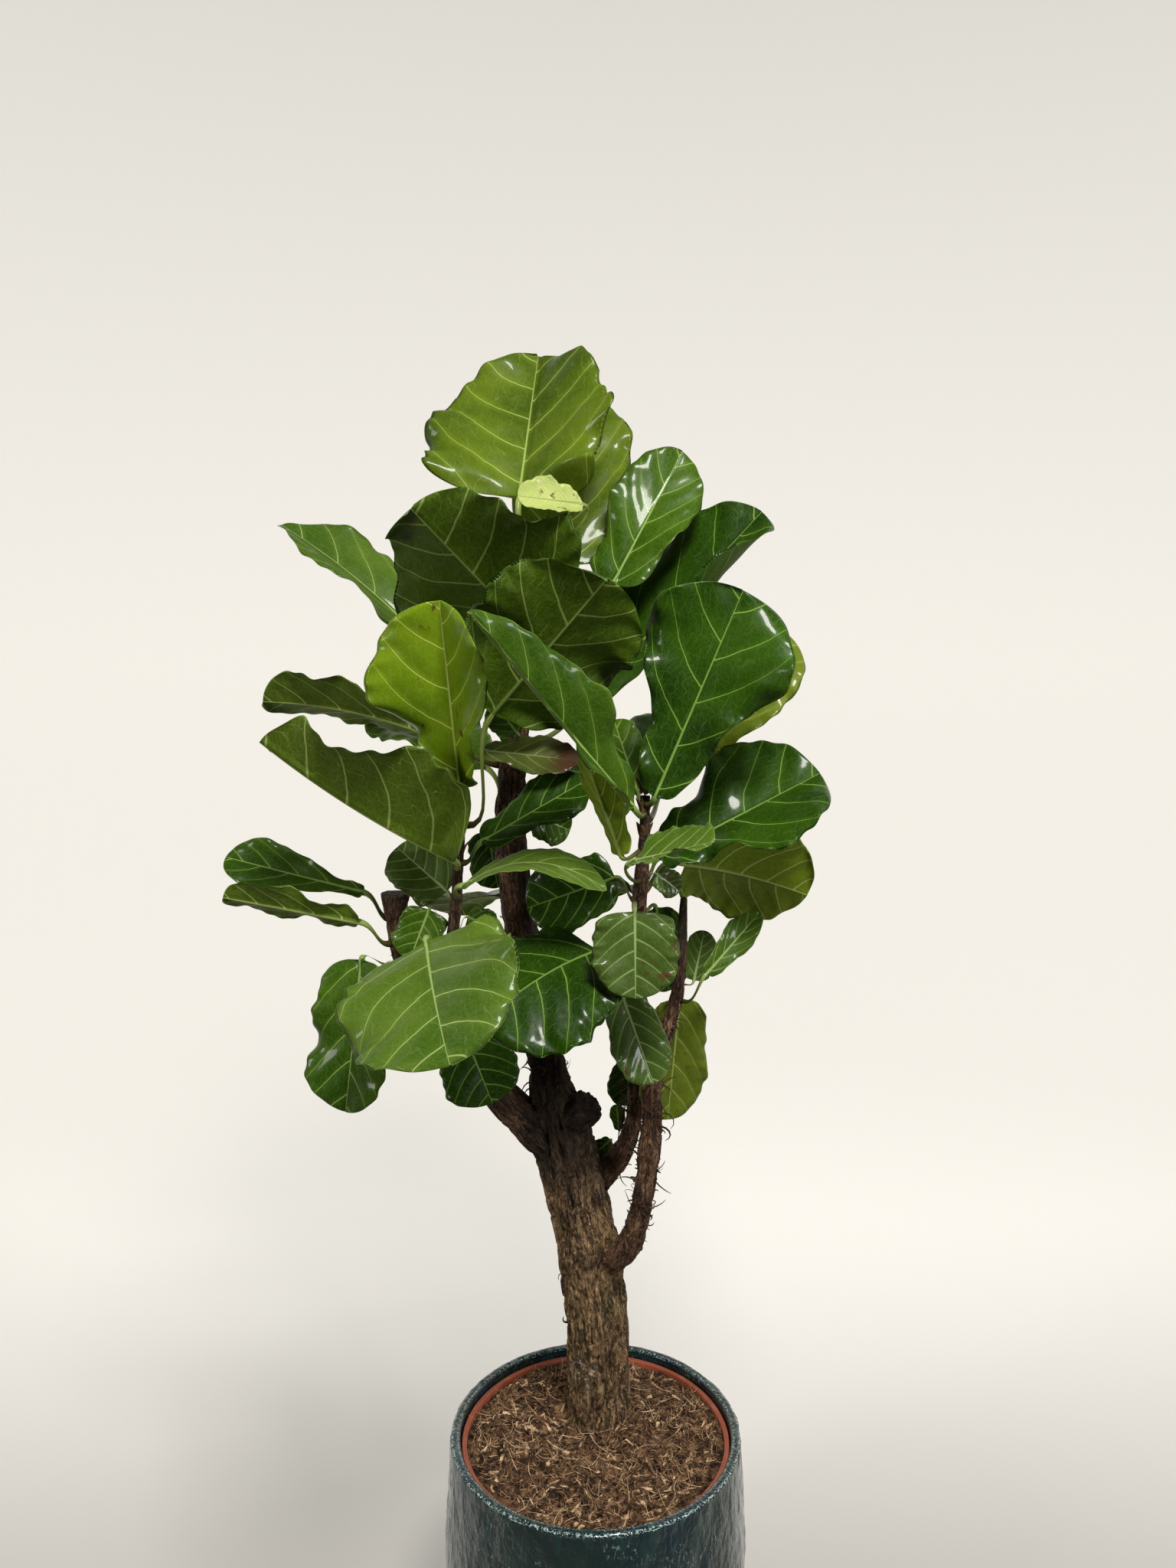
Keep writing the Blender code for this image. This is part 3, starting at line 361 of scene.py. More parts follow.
def rings_round(radius, height, around):
    """Rings of points round Z, from a column of radii and the heights that go with them."""
    x, y = radius * np.cos(turns(around)), radius * np.sin(turns(around))
    return np.stack((x, y, np.broadcast_to(height, x.shape)), axis=-1)


def catmull(points, steps):
    """A Catmull-Rom curve through rows of numbers, with that many steps in each span."""
    points = np.asarray(points, float)
    ends = np.vstack((2.0 * points[0] - points[1], points, 2.0 * points[-1] - points[-2]))
    t = (np.arange(steps) / steps)[None, :, None]
    p0, p1, p2, p3 = (ends[k:k + len(points) - 1, None, :] for k in range(4))
    spans = 0.5 * (2.0 * p1 + (p2 - p0) * t + (2.0 * p0 - 5.0 * p1 + 4.0 * p2 - p3) * t ** 2
                   + (3.0 * p1 - p0 - 3.0 * p2 + p3) * t ** 3)
    return np.vstack((spans.reshape(-1, points.shape[1]), points[-1:]))


# ---------------------------------------------------------------- meshes


def mesh_object(name, verts, quads, tris=None, smooth=True):
    """An object at the origin from arrays of points, four-sided faces and three-sided faces."""
    verts = np.asarray(verts, float).reshape(-1, 3)
    quads = np.asarray(quads, np.int32).reshape(-1, 4)
    tris = np.zeros((0, 3), np.int32) if tris is None else np.asarray(tris, np.int32).reshape(-1, 3)
    mesh = bpy.data.meshes.new(name)
    mesh.vertices.add(len(verts))
    mesh.vertices.foreach_set("co", verts.astype(np.float32).ravel())
    mesh.loops.add(quads.size + tris.size)
    mesh.loops.foreach_set("vertex_index", np.concatenate((quads.ravel(), tris.ravel())))
    mesh.polygons.add(len(quads) + len(tris))
    starts = np.concatenate((np.arange(len(quads)) * 4, quads.size + np.arange(len(tris)) * 3))
    mesh.polygons.foreach_set("loop_start", starts.astype(np.int32))
    mesh.polygons.foreach_set("use_smooth", np.full(len(quads) + len(tris), smooth))
    mesh.update(calc_edges=True)
    mesh.validate()
    obj = bpy.data.objects.new(name, mesh)
    bpy.context.scene.collection.objects.link(obj)
    return obj


def ring_quads(rows, around):
    """Faces of a tube of rings: rows of points, each closed on itself, facing out when rings run
    anticlockwise round the way of travel."""
    a = np.arange(rows - 1)[:, None] * around + np.arange(around)[None, :]
    b = np.arange(rows - 1)[:, None] * around + (np.arange(around)[None, :] + 1) % around
    return np.stack((a, b, b + around, a + around), axis=-1).reshape(-1, 4)


def fan(ring_start, around, hub, forwards):
    """Triangles that close a ring on one hub point."""
    k = np.arange(around)
    a = ring_start + k
    b = ring_start + (k + 1) % around
    hubs = np.full(around, hub)
    return np.stack((a, b, hubs) if forwards else (b, a, hubs), axis=-1)


def closed_tubes(name, tubes):
    """One mesh of closed tubes, each given by its rings (rows, around, 3) and a hub point at each end."""
    verts, quads, caps, start = [], [], [], 0
    for rings, first, last in tubes:
        rows, around = rings.shape[:2]
        count = rows * around
        verts.append(np.vstack((rings.reshape(-1, 3), first, last)))
        quads.append(ring_quads(rows, around) + start)
        caps.append(np.vstack((fan(0, around, count, False),
                               fan(count - around, around, count + 1, True))) + start)
        start += count + 2
    return mesh_object(name, np.vstack(verts), np.vstack(quads), np.vstack(caps))


def read_points(mesh, what="co"):
    """The places or the normals of a mesh's points, as rows of three."""
    flat = np.empty(len(mesh.vertices) * 3, np.float32)
    mesh.vertices.foreach_get(what, flat)
    return flat.reshape(-1, 3)


def point_attribute(obj, name, values):
    """A number or a vector stored on every point of a piece, for its finish to read."""
    values = np.asarray(values, np.float32)
    kind = "FLOAT" if values.ndim == 1 else "FLOAT_VECTOR"
    layer = obj.data.attributes.new(name, kind, "POINT")
    layer.data.foreach_set("value" if kind == "FLOAT" else "vector", values.ravel())


def loop_map(obj, name, values):
    """A UV map filled from two numbers for every point of a piece."""
    corner = np.empty(len(obj.data.loops), np.int32)
    obj.data.loops.foreach_get("vertex_index", corner)
    layer = obj.data.uv_layers.new(name=name)
    layer.data.foreach_set("uv", np.asarray(values, np.float32)[corner].ravel())


def place(obj, finish, slot, *nodes):
    """Gives a piece its finish and the body it rides on, and hides the nodes it stands for. slot is not used.
    """
    obj.data.materials.clear()
    obj.data.materials.append(finish)
    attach(obj, "root")
    if nodes:
        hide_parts(*nodes)
    return obj


# ---------------------------------------------------------------- finishes


class Value:
    """A number that varies over a surface. Arithmetic on it adds Math nodes to its finish."""

    def __init__(self, finish, socket):
        self.finish = finish
        self.socket = socket

    def op(self, operation, *others):
        """A Math node on this value and the others, in order."""
        return self.finish.maths(operation, self, *others)

    def __add__(self, other):
        return self.op("ADD", other)

    __radd__ = __add__

    def __mul__(self, other):
        return self.op("MULTIPLY", other)

    __rmul__ = __mul__

    def __sub__(self, other):
        return self.op("SUBTRACT", other)

    def __rsub__(self, other):
        return self.finish.maths("SUBTRACT", other, self)

    def __truediv__(self, other):
        return self.op("DIVIDE", other)

    def __rtruediv__(self, other):
        return self.finish.maths("DIVIDE", other, self)

    def __abs__(self):
        return self.op("ABSOLUTE")

    def fract(self):
        """What is left after the whole number."""
        return self.op("FRACT")

    def at_least(self, other):
        """The larger of the two."""
        return self.op("MAXIMUM", other)

    def rise(self, low, high):
        """0 below low, 1 above high and a smooth rise between; it falls where low is above high."""
        first, last, start, end = (low, high, 0.0, 1.0) if low < high else (high, low, 1.0, 0.0)
        sockets = {"Value": self, "From Min": first, "From Max": last, "To Min": start, "To Max": end}
        node = self.finish.add("ShaderNodeMapRange", {"interpolation_type": "SMOOTHSTEP"}, sockets)
        return Value(self.finish, node.outputs["Result"])


class Finish:
    """One material, built on its Principled shader."""

    def __init__(self, name, **constants):
        self.material = bpy.data.materials.new(name)
        self.material.use_nodes = True
        self.tree = self.material.node_tree
        self.shader = self.tree.nodes["Principled BSDF"]
        for socket, value in constants.items():
            self.shader.inputs[socket.replace("_", " ")].default_value = value

    def add(self, kind, settings=None, sockets=None):
        """A node: its settings are set first, then its sockets, from values or links."""
        node = self.tree.nodes.new(kind)
        for name, value in (settings or {}).items():
            setattr(node, name, value)
        for name, value in (sockets or {}).items():
            self.join(node.inputs[name], value)
        return node

    def join(self, socket, value):
        """Links a value or a socket, or sets a constant."""
        if isinstance(value, Value):
            self.tree.links.new(value.socket, socket)
        elif isinstance(value, bpy.types.NodeSocket):
            self.tree.links.new(value, socket)
        elif isinstance(value, tuple) and len(value) == 3 and socket.type == "RGBA":
            socket.default_value = (*value, 1.0)
        else:
            socket.default_value = value

    def maths(self, operation, *values):
        """A Math node on values and numbers."""
        node = self.add("ShaderNodeMath", {"operation": operation}, dict(enumerate(values)))
        return Value(self, node.outputs[0])

    def mix(self, share, first, second):
        """A colour that goes from first to second as share goes from 0 to 1."""
        return self.add("ShaderNodeMix", {"data_type": "RGBA"}, {0: share, 6: first, 7: second}).outputs[2]

    def place(self):
        """Object coordinates."""
        return self.add("ShaderNodeTexCoord").outputs["Object"]

    def uv(self, name):
        """The two numbers of one of the piece's own UV maps."""
        return self.parts(self.add("ShaderNodeUVMap", {"uv_map": name}).outputs[0])[:2]

    def parts(self, vector):
        """The three numbers of a vector."""
        return [Value(self, part) for part in self.add("ShaderNodeSeparateXYZ", None, {0: vector}).outputs]

    def attribute(self, name, output="Fac"):
        """A number or a vector stored on the piece's points."""
        node = self.add("ShaderNodeAttribute", {"attribute_name": name})
        return Value(self, node.outputs[output]) if output == "Fac" else node.outputs[output]

    def vector(self, operation, first, second):
        """A Vector Math node on two vectors."""
        return self.add("ShaderNodeVectorMath", {"operation": operation}, {0: first, 1: second}).outputs[0]

    def noise(self, vector, scale, detail=3.0, roughness=0.55):
        """Noise from 0 to 1. The scale is one number, or one for each axis where the noise is drawn out."""
        if isinstance(scale, tuple):
            vector, scale = self.vector("MULTIPLY", vector, scale), 1.0
        node = self.add("ShaderNodeTexNoise", None,
                        {"Vector": vector, "Scale": scale, "Detail": detail, "Roughness": roughness})
        return Value(self, node.outputs["Fac"])

    def cells(self, vector, scale, feature="DISTANCE_TO_EDGE"):
        """Voronoi cells: the distance to their walls, or to their middles with feature F1."""
        node = self.add("ShaderNodeTexVoronoi", {"feature": feature}, {"Vector": vector, "Scale": scale})
        return Value(self, node.outputs["Distance"])

    def paint(self, height=None, **sockets):
        """Links values or colours to the shader's sockets. height is a bump's, in metres."""
        for name, value in sockets.items():
            self.join(self.shader.inputs[name.replace("_", " ")], value)
        if height is not None:
            bump = self.add("ShaderNodeBump", None, {"Strength": 1.0, "Distance": 1.0, "Height": height})
            self.join(self.shader.inputs["Normal"], bump.outputs["Normal"])
        return self.material


def leaf_finish(name, deep, bright, vein, under, under_vein, gloss=0.30, spots=0.0, scorch=2.0):
    """Waxy blade: pale veins over two greens on top, duller green with raised veins below.

    Side veins are where (along - slant * across - curve * across^2) * pairs passes a half, a little
    shaken by noise; between them lie rungs at even steps outward and a fine net of cells. Brown spots
    are where two noises are both high, and beyond the scorch share of its length the blade is dry and
    brown. The petiole, where the share along is below 0, goes from green to brown at its foot.
    """
    finish = Finish(name, Specular_IOR_Level=0.09, Coat_Roughness=0.09)
    along, sideways = finish.uv("share")
    metres_along, metres_across = finish.uv("metres")
    place = finish.place()
    wobble = (finish.noise(place, 55.0, 2.0) - 0.5) * 0.022
    flat = finish.add("ShaderNodeCombineXYZ", None,
                      {0: metres_along + wobble, 1: metres_across - wobble}).outputs[0]
    below = finish.attribute("below")
    margin = finish.attribute("margin")
    shake = finish.noise(place, 15.0)
    out = abs(sideways)
    right = sideways.op("GREATER_THAN", 0.0)
    run = (along - out * VEIN_SLANT - out * out * VEIN_CURVE) * VEIN_PAIRS + right * VEIN_STAGGER
    run = run + (shake - 0.5) * 0.30
    off_vein = abs(run.fract() - 0.5)
    blade = along.rise(0.0, 0.02)
    pitch = metres_along / (along * VEIN_PAIRS)
    side_vein = (off_vein * pitch + out * 0.0005 - below * 0.0005).rise(0.0013, 0.0005) * blade
    side_vein = side_vein * (pitch.rise(0.008, 0.026) * 0.6 + 0.4)
    midrib = (abs(metres_across) + along * 0.0012 - below * 0.0006).rise(0.0020, 0.0010)
    rung = out * 4.5 + run.op("FLOOR") * 0.37 + (finish.noise(place, 32.0, 2.0) - 0.5) * 1.6
    rung = abs(rung.fract() - 0.5)
    net = rung.rise(0.022, 0.006).at_least(finish.cells(flat, 60.0).rise(0.022, 0.006) * 0.5) * blade
    fine_net = finish.cells(flat, 190.0).rise(0.11, 0.02) * blade
    edge = margin.rise(0.0012, 0.0005) * blade
    veins = side_vein.at_least(midrib).at_least(edge * 0.55)
    all_veins = veins.at_least(net * 0.24).at_least(fine_net * 0.07)
    clouds = finish.noise(place, 9.0, 4.0)
    glow = off_vein.rise(0.24, 0.0) * 0.30 + clouds.rise(0.32, 0.70) * 0.70
    top = finish.mix(all_veins * 0.80, finish.mix(glow, deep, bright), vein)
    pale_under = tuple(min(1.0, 1.5 * c) for c in under)
    low = finish.mix(veins.at_least(net * 0.45).at_least(fine_net * 0.15) * 0.85,
                     finish.mix(clouds.rise(0.3, 0.8) * 0.6, under, pale_under), under_vein)
    colour = finish.mix(below, top, low)
    colour = finish.mix(along.rise(-0.01, -0.12) * 0.9, colour, PETIOLE_GREEN)
    colour = finish.mix(along.rise(-0.12, -PETIOLE_MAP) * 0.8, colour, PETIOLE_FOOT)
    patch = finish.noise(place, 70.0, 4.0)
    if spots:
        blotch = patch.rise(0.60, 0.66) * finish.noise(place, 16.0, 1.0).rise(0.56, 0.64)
        colour = finish.mix(blotch * spots, colour, SPOT_BROWN)
    if scorch < 1.0:
        dry = (along + (patch - 0.5) * 0.35).rise(scorch, scorch + 0.28)
        colour = finish.mix(dry, colour, finish.mix(patch, SCORCH_DARK, SCORCH_LIGHT))
    height = (0.5 - below) * (veins * -0.0006 + net * -0.00014 + fine_net * -0.00003)
    height = height + (clouds - 0.5) * 0.0022 + (finish.noise(place, 42.0, 2.0) - 0.5) * 0.0006
    rough = below * 0.22 + gloss + clouds * 0.12
    return finish.paint(Base_Color=colour, Roughness=rough, Coat_Weight=0.17 - below * 0.17, height=height)


def bark_finish():
    """Fissured bark: dark cracks run along the branch where drawn-out noise is close to its middle value,
    over plates of grey-brown and olive. Thin branches are redder, shoots greener and the cut face paler
    with fine rings. The main crotch high on the trunk is painted nearly black: painted shade under the crown."""
    finish = Finish("bark", Specular_IOR_Level=0.25)
    place = finish.place()
    warp = finish.add("ShaderNodeTexNoise", None,
                      {"Vector": place, "Scale": 45.0, "Detail": 2.0}).outputs["Color"]
    grain = finish.vector("ADD", finish.attribute("grain", "Vector"),
                          finish.vector("MULTIPLY", warp, (0.012, 0.012, 0.05)))
    girth = finish.attribute("girth")
    cut = finish.attribute("cut")
    patch_share = finish.noise(place, 24.0, 2.0)
    long_noise = finish.noise(grain, (120.0, 120.0, 16.0), 6.0, 0.66)
    fissure = abs(long_noise - 0.5).rise(0.040, 0.006) * (patch_share.rise(0.30, 0.55) * 0.5 + 0.5)
    fine_noise = finish.noise(grain, (340.0, 340.0, 40.0), 5.0, 0.65)
    crack = abs(fine_noise - 0.5).rise(0.040, 0.008)
    strand = finish.noise(grain, (560.0, 560.0, 70.0), 4.0, 0.65)
    patch = finish.noise(place, 30.0, 5.0, 0.65)
    across = finish.noise(grain, (40.0, 40.0, 150.0), 4.0, 0.6)
    plates = finish.mix(patch.rise(0.34, 0.68), (0.170, 0.100, 0.045), (0.42, 0.27, 0.135))
    plates = finish.mix(finish.noise(place, 17.0).rise(0.50, 0.68) * 0.6, plates, (0.190, 0.155, 0.055))
    plates = finish.mix(strand.rise(0.54, 0.72) * 0.7, plates, (0.52, 0.37, 0.22))
    plates = finish.mix(strand.rise(0.46, 0.34) * 0.6, plates, (0.055, 0.033, 0.016))
    ruddy = finish.mix(patch.rise(0.38, 0.64), (0.075, 0.036, 0.018), (0.235, 0.125, 0.066))
    ruddy = finish.mix(strand.rise(0.52, 0.70) * 0.6, ruddy, (0.36, 0.22, 0.125))
    ruddy = finish.mix(strand.rise(0.46, 0.34) * 0.6, ruddy, (0.022, 0.012, 0.007))
    x, _, z = finish.parts(place)
    colour = finish.mix(girth.rise(0.030, 0.018), plates, ruddy)
    # painted shade: the bark in the main crotch under the crown is darkened nearly to black, for the shadow
    # that falls there
    painted_crotch_shade = z.rise(0.60, 0.72) * girth.rise(0.012, 0.017) * x.rise(-0.105, -0.065)
    colour = finish.mix(painted_crotch_shade * 0.85, colour, (0.012, 0.008, 0.005))
    shoot = finish.mix(strand.rise(0.4, 0.7), (0.030, 0.019, 0.009), (0.085, 0.065, 0.026))
    colour = finish.mix(girth.rise(0.0075, 0.0048), colour, shoot)
    rough_edge = across.rise(0.38, 0.31) * 0.55
    dark = (fissure * 0.90).at_least(crack * 0.65).at_least(rough_edge)
    colour = finish.mix(dark, colour, CRACK_BLACK)
    lichen = finish.noise(place, 210.0).rise(0.66, 0.72) * finish.noise(place, 13.0, 2.0).rise(0.50, 0.62)
    colour = finish.mix(lichen * girth.rise(0.010, 0.016) * 0.7, colour, LICHEN)
    away = finish.add("ShaderNodeVectorMath", {"operation": "DISTANCE"}, {0: place, 1: CRUST_AT})
    crust = Value(finish, away.outputs["Value"]).rise(0.030, 0.008)
    crust = crust * finish.noise(place, 150.0, 4.0).rise(0.52, 0.60)
    colour = finish.mix(crust * 0.85, colour, LIME)
    rings = finish.noise(place, (420.0, 420.0, 60.0))
    face = finish.mix(rings.rise(0.4, 0.65), (0.035, 0.024, 0.017), (0.15, 0.115, 0.085))
    colour = finish.mix(cut, colour, face)
    height = strand * 0.0014 + fine_noise * 0.0018 - fissure * 0.0016 - crack * 0.0008 + across * 0.0022 \
        + patch * 0.0016
    return finish.paint(Base_Color=colour, Roughness=0.68 + strand * 0.25, height=height)


def fibre_finish(name, dark, light, scale=90.0):
    """Dry plant fibre: two browns mixed by noise."""
    finish = Finish(name, Specular_IOR_Level=0.2, Roughness=0.9)
    tone = finish.noise(finish.place(), scale).rise(0.35, 0.65)
    return finish.paint(Base_Color=finish.mix(tone, dark, light))


def soil_finish():
    """Coir and peat: crumbs of dark and mid brown with paler flecks and clumps, and near-black patches of
    painted shade for the hollows.
    """
    finish = Finish("coir_and_peat", Specular_IOR_Level=0.2, Roughness=0.95)
    place = finish.place()
    crumbs = finish.noise(place, 160.0, 5.0, 0.7)
    flecks = finish.cells(place, 330.0, "F1")
    clumps_and_hollow_shade = finish.noise(place, 30.0, 4.0, 0.6)
    colour = finish.mix(crumbs.rise(0.38, 0.64), (0.030, 0.015, 0.008), (0.20, 0.108, 0.055))
    # painted shade: near-black patches stand for the shade in the hollows between clumps
    colour = finish.mix(clumps_and_hollow_shade.rise(0.52, 0.36) * 0.85, colour, (0.016, 0.008, 0.005))
    colour = finish.mix(clumps_and_hollow_shade.rise(0.56, 0.72) * 0.6, colour, (0.34, 0.205, 0.11))
    colour = finish.mix(flecks.rise(0.28, 0.14) * finish.noise(place, 60.0, 2.0).rise(0.5, 0.6), colour,
                        (0.42, 0.28, 0.16))
    return finish.paint(Base_Color=colour, height=crumbs * 0.005)


def glaze_finish():
    """Pooled glaze: teal-black with bluer drifts and greenish runs, breaking pale over the rim's edges. Pale
    streaky flecks on the body are partly glaze break and partly painted glints.
    """
    finish = Finish("teal_glaze", Specular_IOR_Level=0.40, Coat_Weight=0.35, Coat_Roughness=0.03)
    place = finish.place()
    edge = finish.attribute("edge")
    runs = finish.noise(place, (42.0, 42.0, 14.7), 4.0, 0.6)
    drifts = finish.noise(place, 9.0)
    colour = finish.mix(drifts.rise(0.42, 0.66), (0.002, 0.015, 0.014), (0.002, 0.016, 0.026))
    colour = finish.mix(runs.rise(0.50, 0.70) * 0.7, colour, (0.014, 0.052, 0.043))
    speckle = finish.noise(place, 420.0, 3.0, 0.7)
    mottle = finish.cells(place, 330.0, "F1")
    broken = speckle.rise(0.52, 0.58).at_least(mottle.rise(0.20, 0.10))
    colour = finish.mix(edge * broken * 0.85, colour, (0.46, 0.56, 0.52))
    # partly pale glaze break over the dimples, partly painted highlight: small pale glints in vertical
    # streaks
    flecked = finish.noise(place, (16.0, 16.0, 28.8)).rise(0.50, 0.62)
    specks_and_painted_glints = finish.noise(place, (300.0, 300.0, 150.0), 3.0, 0.6).rise(0.58, 0.64)
    colour = finish.mix(specks_and_painted_glints * flecked * 0.45, colour, (0.20, 0.30, 0.28))
    dimples = finish.noise(place, (85.0, 85.0, 46.75))
    height = runs * 0.0022 + dimples.rise(0.35, 0.65) * 0.0014
    return finish.paint(Base_Color=colour, Roughness=0.07 + broken * edge * 0.30, height=height)


def plastic_finish():
    """Satin terracotta plastic, a little chalky and scuffed."""
    finish = Finish("terracotta_plastic", Specular_IOR_Level=0.45)
    place = finish.place()
    dust = finish.noise(place, 70.0, 4.0)
    colour = finish.mix(dust.rise(0.45, 0.75) * 0.6, (0.25, 0.062, 0.028), (0.35, 0.120, 0.066))
    return finish.paint(Base_Color=colour, Roughness=0.42 + dust * 0.2,
                        height=finish.noise(place, 900.0, 2.0) * 0.00005)


# ---------------------------------------------------------------- wood


def centre_line(name, steps):
    """A branch's smooth centre line, as rows of x, y, z and radius. The leader's first span, the buried
    foot of the trunk, is left as one straight step."""
    points = np.array(BRANCHES[name], float)
    points[:, 2] += PLANT_LIFT
    line = catmull(points, steps)
    return np.delete(line, np.arange(1, steps), axis=0) if name == "leader" else line


def branch_at(name, height):
    """Centre, direction and radius of a branch at a height above the ground."""
    line = centre_line(name, 3)
    height += PLANT_LIFT
    i = int(np.clip(np.searchsorted(line[:, 2], height) - 1, 0, len(line) - 2))
    t = (height - line[i, 2]) / (line[i + 1, 2] - line[i, 2])
    here = line[i] + (line[i + 1] - line[i]) * t
    return here[:3], unit(line[i + 1, :3] - line[i, :3]), max(line[i, 3], line[i + 1, 3])


def path_frames(path):
    """Directions along a path, and two directions square to it: the first is world X, or world Y where
    the path runs along X, made square to the path."""
    along = unit(np.gradient(path, axis=0))
    spare = np.where(np.abs(along[:, :1]) < 0.9, (1.0, 0.0, 0.0), (0.0, 1.0, 0.0))
    first = unit(spare - (spare * along).sum(axis=1, keepdims=True) * along)
    return along, first, np.cross(along, first)


def tube_rings(path, radii, around):
    """Circles of the given radii carried along a path."""
    _, first, second = path_frames(path)
    angle = turns(around)[None, :, None]
    ring = first[:, None] * np.cos(angle) + second[:, None] * np.sin(angle)
    return path[:, None] + ring * np.asarray(radii)[:, None, None]


def nearest_branch(points):
    """For each point: its place in the nearest branch's own axes (two across, one along), and that
    branch's radius there. Nearest means the least distance measured in radii."""
    samples = []
    for name in BRANCHES:
        line = centre_line(name, 8)
        along, first, second = path_frames(line[:, :3])
        run = np.concatenate(([0.0], np.cumsum(np.linalg.norm(np.diff(line[:, :3], axis=0), axis=1))))
        samples.append(np.column_stack((line, along, first, second, run + len(samples) * 3.0)))
    samples = np.vstack(samples)
    grain = np.empty((len(points), 3))
    girth = np.empty(len(points))
    for block in np.array_split(np.arange(len(points)), max(1, len(points) // 4000)):
        offset = points[block, None, :] - samples[None, :, :3]
        share = np.linalg.norm(offset, axis=2) / samples[None, :, 3]
        pick = samples[np.argmin(share, axis=1)]
        offset = points[block] - pick[:, :3]
        grain[block, 0] = (offset * pick[:, 7:10]).sum(axis=1)
        grain[block, 1] = (offset * pick[:, 10:13]).sum(axis=1)
        grain[block, 2] = (offset * pick[:, 4:7]).sum(axis=1) + pick[:, 13]
        girth[block] = pick[:, 3]
    return grain, girth


def bark_relief(grain, girth):
    """How far bark stands out: long ridges split by furrows, ring scars and broad lumps, all less on
    thin branches. A furrow lies where drawn-out noise is near one half; a ring scar is a narrow dip of a
    slow wave along the branch."""
    thick = smoothstep((girth - 0.005) / 0.025)
    furrow = np.exp(-((fractal(grain * (120.0, 120.0, 16.0), 1.0, 3) - 0.5) / 0.040) ** 2)
    ridges = fractal(grain * (230.0, 230.0, 40.0), 4.0, 3)
    lumps = fractal(grain * (22.0, 22.0, 16.0), 2.0, 2)
    wander = noise(grain * (20.0, 20.0, 8.0), 3.0)
    scar = np.exp(-((np.mod(grain[:, 2] * 26.0 + wander * 1.5, 1.0) - 0.5) / 0.10) ** 2)
    relief = (smoothstep((ridges - 0.30) / 0.30) - 0.6) * 0.0034 + (lumps - 0.5) * 0.0070 - furrow * 0.0034
    return relief * (0.25 + 0.75 * thick) - scar * 0.0013 * smoothstep((girth - 0.004) / 0.01)


def make_wood():
    """Every branch as a round tube, melted into one skin, softened at the crotches, then given its bark."""
    lines = [centre_line(name, 6) for name in BRANCHES]
    wood = closed_tubes("wood_skin", [(tube_rings(line[:, :3], line[:, 3], WOOD_AROUND), line[0, :3],
                                       line[-1, :3]) for line in lines])
    melt = wood.modifiers.new("melt", "REMESH")
    melt.mode = "VOXEL"
    melt.voxel_size = WOOD_VOXEL
    soften = wood.modifiers.new("soften", "SMOOTH")
    soften.factor = 0.5
    soften.iterations = CROTCH_SOFTENING
    bpy.context.view_layer.update()
    skin = bpy.data.meshes.new_from_object(wood.evaluated_get(bpy.context.evaluated_depsgraph_get()))
    wood.modifiers.clear()
    wood.data = skin
    points = read_points(skin).astype(float)
    normals = read_points(skin, "normal")
    grain, girth = nearest_branch(points)
    stub = np.array(BRANCHES["left_limb"][-1])
    near = smoothstep((CUT_FACE_REACH - np.linalg.norm(points[:, :2] - stub[:2], axis=1)) / 0.004)
    cut = near * smoothstep((points[:, 2] - stub[2] - PLANT_LIFT + 0.004) / 0.002)
    relief = bark_relief(grain, girth) * (1.0 - cut)
    points += normals * relief[:, None]
    skin.vertices.foreach_set("co", points.astype(np.float32).ravel())
    skin.polygons.foreach_set("use_smooth", np.full(len(skin.polygons), True))
    skin.update()
    for name, values in (("grain", grain), ("girth", girth), ("cut", cut)):
        point_attribute(wood, name, values)
    return place(wood, bark_finish(), "bark", "wood")


def strands(name, starts, ways, lengths, radius, bend, seed, sides=3, knots=6):
    """Many thin curled fibres in one piece.

    A fibre turns steadily from its start way towards a random side: its path is the sum of
    way * sin(turn t) / turn and side * (1 - cos(turn t)) / turn, and it thins to a quarter of its
    radius. bend is the most that a fibre turns, in radians.
    """
    rng = np.random.default_rng(seed)
    count = len(starts)
    t = np.linspace(0.0, 1.0, knots)[None, :, None]
    side = unit(np.cross(ways, rng.normal(size=(count, 3))))
    turn = (bend * rng.uniform(0.25, 1.0, count) + 0.05)[:, None, None]
    path = starts[:, None] + (ways[:, None] * np.sin(turn * t) / turn
                              + side[:, None] * (1.0 - np.cos(turn * t)) / turn) * lengths[:, None, None]
    along = unit(np.gradient(path, axis=1))
    first = unit(np.cross(along, np.cross(ways, side)[:, None]))
    second = np.cross(along, first)
    angle = turns(sides)
    thick = np.broadcast_to(radius, (count,))[:, None, None, None] * (1.0 - 0.75 * t[..., None] ** 2)
    ring = first[:, :, None] * np.cos(angle)[:, None] + second[:, :, None] * np.sin(angle)[:, None]
    rings = path[:, :, None] + ring * thick
    block = knots * sides
    first_block = np.arange(count)[:, None, None] * block
    quads = ring_quads(knots, sides)[None] + first_block
    ends = np.array([np.arange(sides)[::-1], block - sides + np.arange(sides)])
    caps = ends[None] + first_block
    return mesh_object(name, rings.reshape(-1, 3), quads.reshape(-1, 4), caps.reshape(-1, 3), smooth=False)


